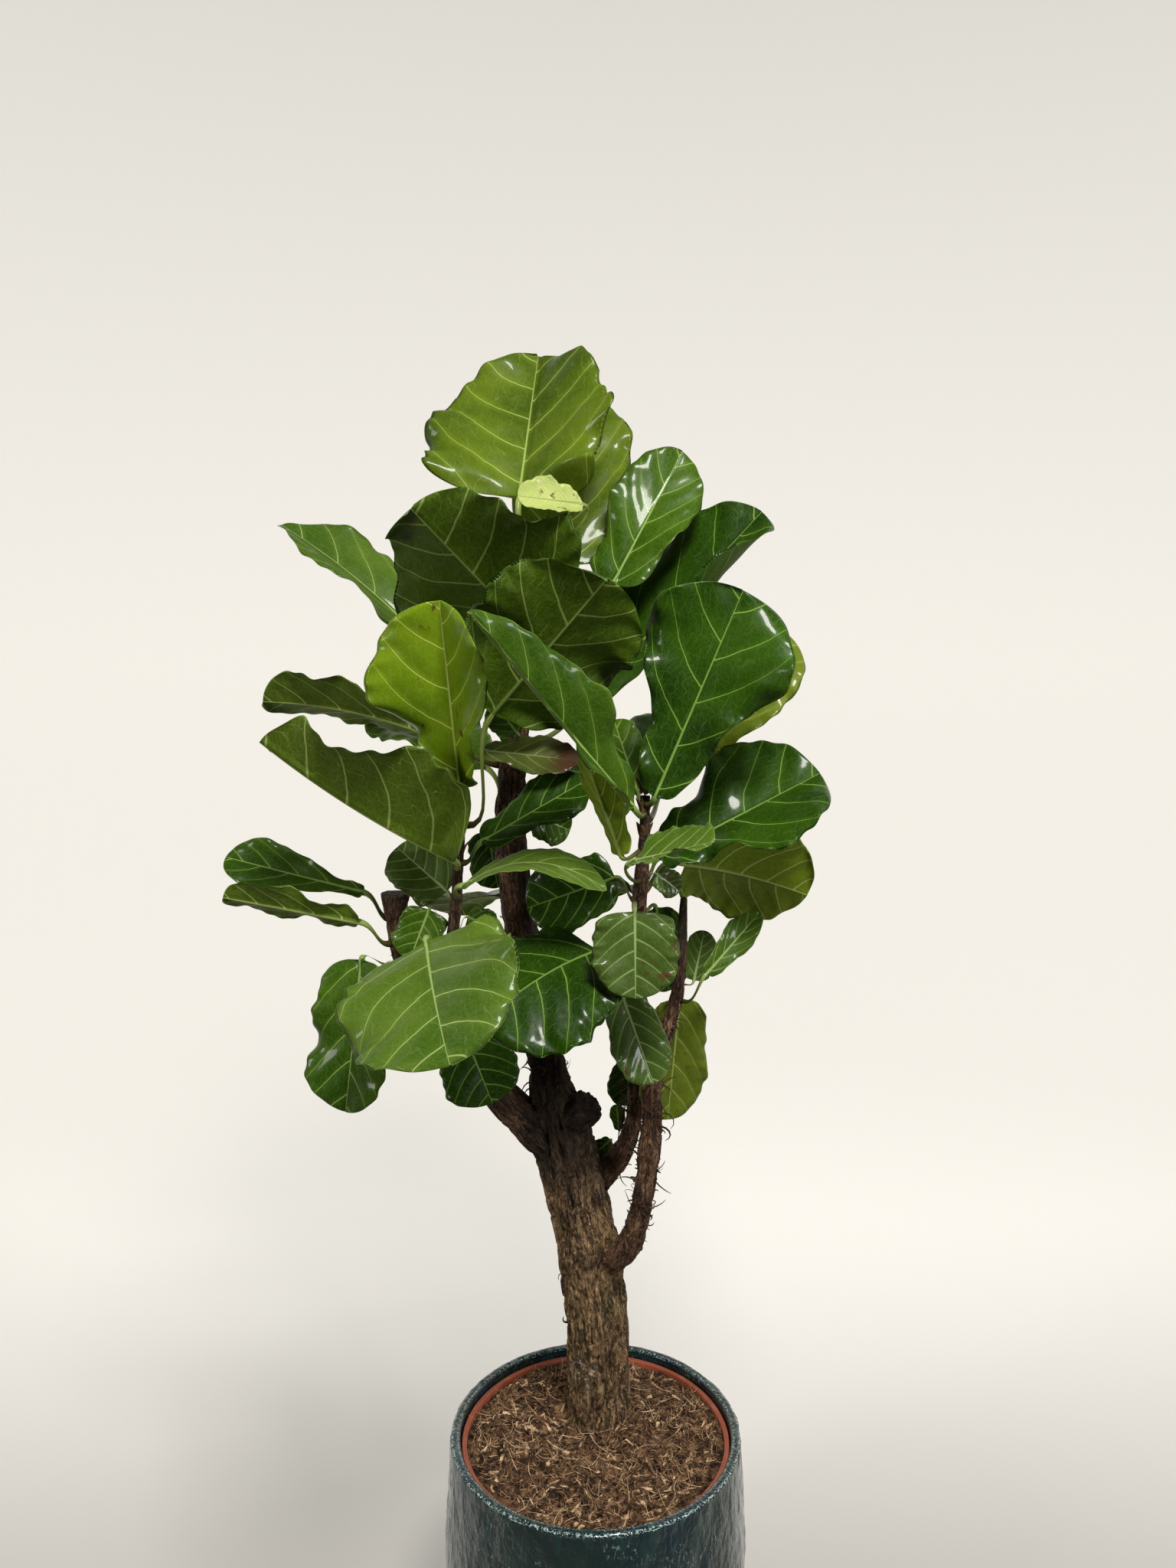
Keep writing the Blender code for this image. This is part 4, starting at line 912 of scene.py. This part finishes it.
def make_bark_shreds():
    """Dry shreds and rootlets that stand off the two right branches, their crotches and the left limb."""
    rng = np.random.default_rng(SHRED_SEED)
    starts, ways = [], []
    for name, low, high, count in SHREDS:
        line = centre_line(name, 8)
        line = line[(line[:, 2] > low + PLANT_LIFT) & (line[:, 2] < high + PLANT_LIFT)]
        pick = line[rng.integers(0, len(line), count)]
        out = unit(rng.normal(size=(count, 3)) * (1.0, 1.0, 0.35))
        starts.append(pick[:, :3] + out * pick[:, 3:4] * 0.92)
        ways.append(unit(out + rng.normal(size=(count, 3)) * 0.7))
    starts, ways = np.vstack(starts), np.vstack(ways)
    lengths = rng.uniform(0.004, 0.012, len(starts)) * rng.choice((0.6, 1.0, 1.0, 2.6), len(starts))
    radius = rng.uniform(0.0004, 0.0015, len(starts))
    shreds = strands("bark_shreds", starts, ways, lengths, radius, 3.8, STRAND_SEED)
    return place(shreds, fibre_finish("dry_bark", (0.014, 0.008, 0.005), (0.075, 0.040, 0.022)), "bark")


def make_sheaths():
    """Papery brown bud sheaths round the tips of the shoots: narrow pointed scales that lean outwards.

    A scale is a bent spindle: its half-width is the root of t(1-t) times a taper, and its thickness a
    third of that.
    """
    scales = []
    t = np.linspace(0.02, 1.0, SHEATH_RINGS)[:, None]
    angle = turns(SHEATH_SIDES)[None, :, None]
    half = 0.0042 * np.sqrt(np.clip(t * (1.02 - t), 0.0, None)) * (1.3 - 0.5 * t) * 1.6
    rng = np.random.default_rng(SHEATH_SEED)
    for name in ("left_shoot", "right_back", "leader"):
        line = centre_line(name, 8)
        for k in range(SHEATHS):
            whorl = k // 3
            spot = line[-1 - whorl * 5]
            turn = k * GOLDEN_TURN + rng.uniform(0.0, 0.5)
            out = np.array((math.cos(turn), math.sin(turn), 0.0))
            length = 0.022 - 0.003 * whorl
            axis = spot[:3] + out * spot[3] * 0.7 + t * length * np.array((0.0, 0.0, 1.0))
            axis = axis + out * t ** 2 * length * 0.45
            broad = np.cross(out, (0.0, 0.0, 1.0))
            ring = axis[:, None] + (broad * np.cos(angle) * half[:, :, None]
                                    + out * np.sin(angle) * half[:, :, None] * 0.33)
            scales.append((ring, axis[0], axis[-1]))
    sheaths = closed_tubes("bud_sheaths", scales)
    brown = fibre_finish("dry_sheath", (0.05, 0.022, 0.010), (0.17, 0.085, 0.035), 160.0)
    return place(sheaths, brown, "bark")


# ---------------------------------------------------------------- leaves


def outline(one, u):
    """Half-width of a fiddle-shaped blade as a share of its widest, from base (0) to tip (1).

    A quarter-round base, a waist that swells to full width, and a rounded or pointed tip.
    """
    waist, widest, rounding = one["waist"], one["widest"], one["rounding"]
    base_round = np.sqrt(1.0 - (1.0 - np.clip(u / rounding, 0.0, 1.0)) ** 2)
    swell = waist + (1.0 - waist) * smoothstep((u - rounding) / (widest - rounding))
    tip_round = np.sqrt(1.0 - np.clip((u - widest) / (1.0 - widest), 0.0, 1.0) ** one["blunt"])
    return base_round * swell * tip_round


def leaf_frame(one):
    """Base point, length, and the along, top and right directions of a blade."""
    lift = np.array((0.0, 0.0, PLANT_LIFT))
    base = np.array(one["base"]) + lift
    along = np.array(one["tip"]) + lift - base
    length = np.linalg.norm(along)
    along = along / length
    top = across(one["face"], along)
    return base, length, along, top, np.cross(along, top)


def blade_sections(one, u, v, rng):
    """Points just above and below the blade's middle surface, and how far each lies from the midrib in
    metres and as a share of half the width, for arrays u (base to tip) and v (left to right).

    Each half is an arc that leaves the midrib at its fold angle. The blade is lifted between its side
    veins, its margin is ruffled and rolled under by sine waves, and the midrib is a ridge below that
    thins to the tip.
    """
    base, length, along, top, right = leaf_frame(one)
    u, v = u[:, None], v[None, :]
    width = one["width"]
    half = (v > 0.0).astype(int)
    turn = one["twist"] * (u - 0.3)
    up = top * np.cos(turn)[..., None] - right * np.sin(turn)[..., None]
    side = right * np.cos(turn)[..., None] + top * np.sin(turn)[..., None]
    stalk = min(PETIOLE_RADIUS, PETIOLE_SHARE * length)
    phase = rng.uniform(0.0, 1.0, 6)
    notch = 1.0 + 0.030 * np.sin(2.0 * np.pi * (2.7 * u + phase[0] + 0.4 * half)) \
        + 0.018 * np.sin(2.0 * np.pi * (6.3 * u + phase[1] + 0.3 * half))
    reach = np.abs(v) * (width * 0.5 * outline(one, u) * notch
                         + stalk * (1.0 - smoothstep(u / 0.07)) + 0.0006)
    share = reach / (width * 0.5)
    bend = np.array(one["curl"])[half] * share
    lean = np.array(one["fold"])[half] + bend * 0.5
    lean = lean * smoothstep(u / 0.10) * smoothstep(reach / (width * 0.05) + 0.15)
    chord = reach * np.sinc(bend / (2.0 * np.pi))
    run = (u - VEIN_SLANT * share - VEIN_CURVE * share ** 2) * VEIN_PAIRS + VEIN_STAGGER * half
    quilt = (0.5 + 0.5 * np.cos(2.0 * np.pi * run)) * np.clip(share * 4.0, 0.0, 1.0) * (1.0 - np.abs(v) ** 6)
    ripple = one["wave"] * v ** 2 * np.sin(2.0 * np.pi * (2.5 * u + 0.3 * half)) \
        + 0.016 * np.abs(v) ** 3 * np.sin(2.0 * np.pi * (4.1 * u + phase[2] + 0.5 * half)) \
        + 0.010 * np.abs(v) ** 5 * np.sin(2.0 * np.pi * (9.3 * u + phase[3] + 0.2 * half))
    sag = 0.045 * np.sin(2.0 * np.pi * (1.2 * u + phase[4] + 0.35 * half)) * share \
        - 0.060 * np.abs(v) ** 5 * share \
        * (0.5 + 0.7 * np.sin(2.0 * np.pi * (1.7 * u + phase[5] + 0.4 * half)))
    lift = chord * np.sin(lean) + width * (ripple + sag) * smoothstep(u / 0.12) \
        + QUILT * width * quilt * smoothstep(u / 0.10)
    arch = one["arch"] * length * 4.0 * u * (1.0 - u)
    centre = base + along * (length * u)[..., None] + top * arch[..., None]
    middle = centre + side * (np.sign(v) * chord * np.cos(lean))[..., None] + up * lift[..., None]
    rib = stalk * (1.0 - 0.8 * u)
    ridge = rib * np.sqrt(np.clip(1.0 - (reach / rib) ** 2, 0.0, 1.0))
    thick = BLADE_THICKNESS * 0.5 * (1.0 - np.abs(v) ** 8)
    crown = 1.0 - 0.85 * smoothstep(u / 0.08)
    above = middle + up * (thick + ridge * crown)[..., None]
    below = middle - up * (thick + ridge)[..., None]
    return above, below, reach * np.sign(v), share * np.sign(v)


def petiole_path(one, start, outward, t):
    """Centre line of the petiole: a cubic from the branch, square to it, into the midrib."""
    base, _, along = leaf_frame(one)[:3]
    reach = np.linalg.norm(base - start) * 0.4
    knots = (start, start + outward * reach, base - along * reach, base)
    t = t[:, None]
    weights = ((1.0 - t) ** 3, 3.0 * t * (1.0 - t) ** 2, 3.0 * t * t * (1.0 - t), t ** 3)
    return sum(w * k for w, k in zip(weights, knots))


def both_sides(above, below):
    """Columns over the top from left to right, then back under the blade without the two edges."""
    return np.concatenate((above, below[:, -2:0:-1]), axis=1)


def make_leaf(one, blade_finish, seed):
    """One closed leaf: round petiole rings that run on as flat blade sections, pinched shut at the tip."""
    rng = np.random.default_rng(seed)
    base, length, along, top = leaf_frame(one)[:4]
    centre, axis, radius = branch_at(one["branch"], one["height"])
    outward = across(base - centre, axis)
    start = centre + outward * (radius * 0.9)
    fine = min(1.0, 0.35 + length / BLADE_FULL_DETAIL)
    halves = int(POINTS_ACROSS_HALF * fine)
    v = (np.arange(1, halves + 1) / halves) ** 1.45
    v = np.concatenate((-v[::-1], (0.0,), v))
    ends = int(ROWS_AT_ENDS * fine)
    u = np.concatenate((np.linspace(0.0, 0.12, ends), np.linspace(0.12, 0.9, int(ROWS_BETWEEN * fine))[1:],
                        1.0 - 0.1 * (1.0 - np.linspace(0.0, 0.995, ends)[1:]) ** 1.6))
    above, below, reach, share = blade_sections(one, u, v, rng)
    rings = both_sides(above, below)
    loop_v = both_sides(v[None], v[None])[0]
    loop_side = np.concatenate((np.zeros(len(v)), np.ones(len(v) - 2)))

    t = np.linspace(0.0, 1.0, PETIOLE_ROWS + 1)[:-1]
    path = petiole_path(one, start, outward, t)
    stalk = min(PETIOLE_RADIUS, PETIOLE_SHARE * length)
    way = unit(outward * (1.0 - t)[:, None] + along * t[:, None])
    up = unit(top - (top * way).sum(axis=1, keepdims=True) * way)
    side = np.cross(way, up)
    flat = np.clip(np.abs(loop_v), 0.0, 1.0)
    x = (np.sign(loop_v) * np.sin(flat * np.pi / 2.0))[None, :, None]
    z = (np.cos(flat * np.pi / 2.0) * (1.0 - 2.0 * loop_side))[None, :, None]
    swell = stalk * (1.0 + 0.35 * np.exp(-(t / 0.12) ** 2) - 0.10 * np.sin(np.pi * t))
    stems = path[:, None] + swell[:, None, None] * (side[:, None] * x + up[:, None] * z)
    blend = smoothstep((t - 0.55) / 0.45)[:, None, None]
    stems = stems + (rings[0] - base - (stems[-1] - path[-1])) * blend * 0.6

    rings = np.concatenate((stems, rings))[:, ::-1]
    hubs = rings[0].mean(axis=0), rings[-1].mean(axis=0)
    piece = closed_tubes("blade_" + one["name"], [(rings, *hubs)])

    def on_points(stem, blade, first, last):
        """A number for every point: the petiole's and the blade's rings, then the first and last hub."""
        shape = (len(t), len(loop_v)), (len(u), len(loop_v))
        grid = np.concatenate([np.broadcast_to(part, size) for part, size in zip((stem, blade), shape)])
        return np.concatenate((grid[:, ::-1].ravel(), (first, last)))

    stem_u = -(1.0 - t) * PETIOLE_MAP
    all_u = on_points(stem_u[:, None], u[:, None], stem_u[0], u[-1])
    reach = both_sides(reach, reach)
    edge = (1.0 - np.abs(loop_v))[None] * np.abs(reach).max(1)[:, None]
    loop_map(piece, "share", np.column_stack((all_u, on_points(0.0, both_sides(share, share), 0.0, 0.0))))
    loop_map(piece, "metres", np.column_stack((all_u * length, on_points(0.0, reach, 0.0, 0.0))))
    point_attribute(piece, "margin", on_points(0.01, edge, 0.01, 0.0))
    point_attribute(piece, "below", on_points(loop_side, loop_side, 0.0, 0.0))
    node = "leaf_" + one["name"]
    slots = {row["node"]: row["material_slot"] for row in frame["record"]["subparts"]}
    return place(piece, blade_finish, slots[node], node)


def leaf_tones():
    """The plant's greens, from the dark inner leaves to the young yellow-green ones at the top. The deep
    green is partly the darker green of older leaves and partly painted shade, and its dark underside is
    painted shade; the brighter glossy tone has lighter greens for a painted shine.

    Each has the deep and the bright green of its top, the veins on top, its underside and the veins there.
    """
    green_below = (0.044, 0.074, 0.003), (0.22, 0.28, 0.075)
    rows = {
        # deep: the darker green of older leaves, partly painted shade; its dark underside is painted shade
        "deep": ((0.006, 0.024, 0.0003), (0.022, 0.064, 0.0007), (0.16, 0.26, 0.050),
                 (0.027, 0.053, 0.0005), (0.15, 0.205, 0.045)),
        "mid": ((0.014, 0.044, 0.0006), (0.048, 0.100, 0.003), (0.22, 0.32, 0.08), *green_below),
        "olive": ((0.050, 0.082, 0.002), (0.130, 0.165, 0.012), (0.28, 0.34, 0.10),
                  (0.080, 0.120, 0.003), (0.24, 0.30, 0.070)),
        "bright": ((0.052, 0.110, 0.001), (0.130, 0.205, 0.003), (0.34, 0.42, 0.08),
                   (0.09, 0.13, 0.012), (0.26, 0.31, 0.08)),
        "pale": ((0.026, 0.052, 0.0006), (0.092, 0.138, 0.006), (0.25, 0.32, 0.08),
                 (0.14, 0.19, 0.02), (0.34, 0.40, 0.12)),
        "young": ((0.22, 0.28, 0.06), (0.46, 0.50, 0.19), (0.14, 0.18, 0.05),
                  (0.26, 0.31, 0.08), (0.40, 0.45, 0.17)),
        # painted shine: lighter greens that stand for light caught on glossy leaves
        "sheen": ((0.030, 0.070, 0.003), (0.077, 0.130, 0.012), (0.26, 0.35, 0.11), *green_below),
        "scorched": ((0.03, 0.045, 0.006), (0.065, 0.08, 0.014), (0.16, 0.18, 0.07),
                     (0.04, 0.055, 0.008), (0.12, 0.14, 0.05)),
        "grey_green": ((0.028, 0.056, 0.006), (0.058, 0.096, 0.015), (0.23, 0.31, 0.11), *green_below),
    }
    extras = {
        "olive": {"spots": 0.4}, "bright": {"spots": 0.9}, "pale": {"gloss": 0.34},
        "young": {"gloss": 0.36, "spots": 0.9}, "sheen": {"gloss": 0.38}, "scorched": {"scorch": 0.60},
        "grey_green": {"gloss": 0.36, "spots": 0.8},
    }
    return {tone: leaf_finish("blade_" + tone, *colours, **extras.get(tone, {}))
            for tone, colours in rows.items()}


# ---------------------------------------------------------------- pots and soil


def turned_piece(name, profile, around, ripple=None):
    """A profile of radius and height carried round Z: it starts and ends on the axis. ripple moves the
    rings before they are joined."""
    profile = np.asarray(profile, float)
    rings = rings_round(profile[1:-1, :1], profile[1:-1, 1:], around)
    if ripple is not None:
        rings = ripple(rings)
    return closed_tubes(name, [(rings[:, ::-1], (0.0, 0.0, profile[0, 1]), (0.0, 0.0, profile[-1, 1]))])


def make_cover_pot():
    """The glazed pot: a profile from the inner floor up, over a rounded rim and down the belly, carried
    round Z. The outside is dimpled in and out by noise drawn out downwards."""
    inner = POT_RIM_RADIUS - POT_WALL
    belly = POT_BELLY_RADIUS
    roll = POT_WALL * 0.5
    inside = catmull(((POT_BASE_RADIUS - POT_WALL, POT_FLOOR + 0.004), (belly - POT_WALL, POT_HEIGHT * 0.45),
                      (inner, POT_HEIGHT * 0.9), (inner, POT_HEIGHT - roll)), 10)
    turn = np.linspace(np.pi, 0.0, 24)[1:-1]
    rim = np.column_stack((inner + roll + roll * np.cos(turn),
                           POT_HEIGHT - roll * 0.55 + roll * 0.55 * np.sin(turn)))
    outside = catmull(((POT_RIM_RADIUS, POT_HEIGHT - roll), (POT_RIM_RADIUS + 0.0035, POT_HEIGHT * 0.8),
                       (belly, POT_HEIGHT * 0.57), (belly - 0.0026, POT_HEIGHT * 0.32),
                       (belly - 0.0105, POT_HEIGHT * 0.12), (POT_BASE_RADIUS, 0.006)), 30)
    foot = ((POT_BASE_RADIUS - 0.001, 0.002), (POT_BASE_RADIUS - 0.004, 0.0))
    profile = np.vstack(((0.0, POT_FLOOR), (POT_BASE_RADIUS - POT_WALL - 0.006, POT_FLOOR), inside, rim,
                         outside, foot, (0.0, 0.0)))

    def dimples(rings):
        """The outer wall moved in and out by broad and fine noise."""
        radius = np.linalg.norm(rings[..., :2], axis=-1, keepdims=True)
        way = np.concatenate((rings[..., :2] / radius, np.zeros_like(radius)), axis=-1)
        deep = fractal(rings * (62.0, 62.0, 24.0), 7.0, 3) - 0.5
        fine = noise(rings * (210.0, 210.0, 90.0), 8.0) - 0.5
        outer = smoothstep((radius[..., 0] - inner - roll) / roll) * smoothstep(rings[..., 2] / 0.02)
        return rings + way * ((deep * 0.0040 + fine * 0.0010 - 0.0008) * outer)[..., None]

    pot = turned_piece("cover_pot", profile, 320, dimples)
    co = read_points(pot.data)
    radius = np.hypot(co[:, 0], co[:, 1])
    crest = np.maximum(np.exp(-((radius - POT_RIM_RADIUS + 0.0026) / 0.0014) ** 2),
                       0.8 * np.exp(-((radius - inner - 0.0030) / 0.0012) ** 2))
    point_attribute(pot, "edge", smoothstep((co[:, 2] - POT_HEIGHT + 0.0060) / 0.0030) * crest)
    return place(pot, glaze_finish(), "glaze", "ceramic_pot")


def make_grower_pot():
    """The thin plastic pot: a turned-out lip with a shallow step, and a tapering wall down to its floor."""
    rim, high, floor, wall = NURSERY_RIM_RADIUS, NURSERY_RIM_Z, NURSERY_FLOOR_Z, NURSERY_WALL
    top = rim - NURSERY_LIP + wall
    base = top - NURSERY_TAPER
    lip = high - NURSERY_LIP_DEPTH
    profile = ((0.0, floor + wall), (base - wall, floor + wall), (top - wall, lip),
               (top - wall, high - wall * 0.6), (top - wall * 0.8, high - wall * 0.15),
               (top - wall * 0.4, high), (top + wall * 0.2, high - 0.0006),
               (rim - wall * 1.1, high - 0.0006), (rim - wall * 0.6, high),
               (rim - wall * 0.2, high - wall * 0.2), (rim, high - wall * 0.6), (rim, lip), (rim - wall, lip),
               (rim - wall, high - wall * 1.4), (top, high - wall * 1.4), (top, lip), (base, floor),
               (0.0, floor))
    pot = turned_piece("grower_pot", profile, 192)
    return place(pot, plastic_finish(), "terracotta_plastic", "nursery_pot")


def soil_height(x, y):
    """Height of the soil: a low mound, lumpy by noise, with a hollow to the left of the trunk."""
    reach = np.hypot(x, y) / SOIL_RADIUS
    flat = np.stack((x, y, np.zeros_like(x)), axis=-1)
    lumps = (fractal(flat * 34.0, 21.0, 3) - 0.5) * 0.022 + (fractal(flat * 120.0, 22.0, 3) - 0.5) * 0.0100
    hollow = 0.010 * np.exp(-((x - TRUNK_X + 0.055) ** 2 + (y - TRUNK_Y + 0.022) ** 2) / 0.024 ** 2)
    return SOIL_TOP_Z - SOIL_MOUND * (0.45 + 0.55 * reach ** 2) + lumps * (1.0 - 0.6 * reach ** 8) - hollow


def make_soil():
    """The soil: a round grid of heights on top, and a side that tapers down to a flat bottom."""
    top = rings_round(SOIL_RADIUS * np.linspace(0.004, 1.0, 130)[:, None], 0.0, SOIL_AROUND)
    top[..., 2] = soil_height(top[..., 0], top[..., 1])
    down = np.linspace(0.0, 1.0, 8)[1:, None]
    margin = top[-1, :, 2]
    side = rings_round(SOIL_RADIUS - NURSERY_TAPER * down, margin + (SOIL_FLOOR_Z - margin) * down,
                       SOIL_AROUND)
    rings = np.concatenate((top, side))
    hub = (0.0, 0.0, float(soil_height(np.zeros(1), np.zeros(1))[0]))
    soil = closed_tubes("potting_mix", [(rings[:, ::-1], hub, (0.0, 0.0, SOIL_FLOOR_Z))])
    return place(soil, soil_finish(), "soil", "soil")


def soil_spots(rng, count, spread=0.965):
    """Random spots on the soil outside the trunk, evenly spread: the reach goes as the root of a random
    share."""
    reach = SOIL_RADIUS * spread * np.sqrt(rng.uniform(0.0, 1.0, count * 2))
    turn = rng.uniform(0.0, 2.0 * np.pi, count * 2)
    x, y = reach * np.cos(turn), reach * np.sin(turn)
    clear = np.hypot(x - TRUNK_X, y - TRUNK_Y) > TRUNK_RADIUS * 0.98
    x, y = x[clear][:count], y[clear][:count]
    return np.column_stack((x, y, soil_height(x, y)))


def make_soil_litter():
    """Coir fibres, dark crumbs and pale chips lying on the soil in every direction."""
    rng = np.random.default_rng(LITTER_SEED)
    for name, count, short, long, thin, thick, dark, light, bend in LITTER:
        starts = soil_spots(rng, count)
        ways = unit(rng.normal(size=(len(starts), 3)) * (1.0, 1.0, 0.22) + (0.0, 0.0, 0.05))
        lengths = rng.uniform(short, long, len(starts))
        starts = starts - ways * lengths[:, None] * 0.5 + (0.0, 0.0, 0.0012)
        inside = np.hypot(*(starts + ways * lengths[:, None])[:, :2].T) < SOIL_RADIUS * 0.99
        inside &= np.hypot(*starts[:, :2].T) < SOIL_RADIUS * 0.99
        piece = strands(name, starts[inside], ways[inside], lengths[inside],
                        rng.uniform(thin, thick, int(inside.sum())), bend, count)
        place(piece, fibre_finish(name, dark, light, 120.0), "soil")


# ---------------------------------------------------------------- the room, lights and camera


def make_backdrop():
    """A round room in one piece: a floor that curves up into a wall, turned about Z.

    Its far side glows with painted light, as a lit white wall does, and the side behind the viewer has a
    darker colour and a weaker glow: painted shade.
    """
    turn = np.linspace(0.0, np.pi / 2.0, 14)
    curve = np.column_stack((ROOM_RADIUS - ROOM_CURVE + ROOM_CURVE * np.sin(turn),
                             ROOM_CURVE * (1.0 - np.cos(turn))))
    profile = np.vstack((((0.3, 0.0), (1.2, 0.0)), curve, ((ROOM_RADIUS, ROOM_HEIGHT),)))
    rings = rings_round(profile[:, :1], profile[:, 1:], ROOM_AROUND)
    verts = np.vstack((rings.reshape(-1, 3), (0.0, 0.0, 0.0)))
    room = mesh_object("plain_backdrop", verts, ring_quads(len(profile), ROOM_AROUND)[:, ::-1],
                       fan(0, ROOM_AROUND, len(verts) - 1, True))
    paint = Finish("wall_paint", Specular_IOR_Level=0.1, Roughness=0.95, Emission_Strength=1.0)
    # painted light and shade: the glow and the colour both rise from the near side to the far side
    lit = paint.parts(paint.place())[1].rise(-0.80, 1.30)
    glow = paint.mix(lit, (0.020, 0.019, 0.018), (0.445, 0.44, 0.410))
    colour = paint.mix(lit, (0.16, 0.15, 0.14), (0.60, 0.58, 0.555))
    room.data.materials.append(paint.paint(Base_Color=colour, Emission_Color=glow))


def area_light(name, place_at, aim, size, power, colour):
    """A square lamp that looks at a point."""
    lamp = bpy.data.lights.new(name, "AREA")
    lamp.shape = "SQUARE"
    lamp.size = size
    lamp.energy = power
    lamp.color = colour
    obj = bpy.data.objects.new(name, lamp)
    bpy.context.scene.collection.objects.link(obj)
    obj.location = place_at
    way = np.array(aim, float) - np.array(place_at, float)
    flat = math.hypot(way[0], way[1])
    obj.rotation_euler = (math.atan2(flat, -way[2]), 0.0, math.atan2(way[1], way[0]) - math.pi / 2.0)
    obj.visible_camera = False


make_backdrop()
area_light("ceiling_light", (0.35, -1.25, 2.7), (0.0, 0.0, 0.9), 0.50, 62.0, (1.0, 0.975, 0.93))
area_light("window", (2.0, -1.5, 1.6), (0.0, 0.0, 0.9), 0.5, 26.0, (0.97, 0.98, 1.0))
area_light("room_bounce", (-1.9, -1.2, 1.5), (0.0, 0.0, 0.8), 0.6, 22.0, (1.0, 0.965, 0.91))

world = bpy.data.worlds.new("room_light")
world.use_nodes = True
world.node_tree.nodes["Background"].inputs["Color"].default_value = (1.0, 0.97, 0.93, 1.0)
world.node_tree.nodes["Background"].inputs["Strength"].default_value = 0.16
bpy.context.scene.world = world
bpy.context.scene.view_settings.view_transform = "Standard"

camera_data = bpy.data.cameras.new("camera")
camera_data.sensor_width = 36.0
camera_data.lens = FOCAL_LENGTH
camera = bpy.data.objects.new("camera", camera_data)
camera.location = (-0.009, -1.296, 1.285)
camera.rotation_euler = (math.radians(90.0 - CAMERA_DIP), 0.0, 0.0)
bpy.context.scene.collection.objects.link(camera)
bpy.context.scene.camera = camera

# ---------------------------------------------------------------- the plant, put together

make_cover_pot()
make_grower_pot()
make_soil()
make_soil_litter()
make_wood()
make_bark_shreds()
make_sheaths()

tones = leaf_tones()
for number, one_leaf in enumerate(LEAVES):
    make_leaf(one_leaf, tones[one_leaf["tone"]], FIRST_LEAF_SEED + number)
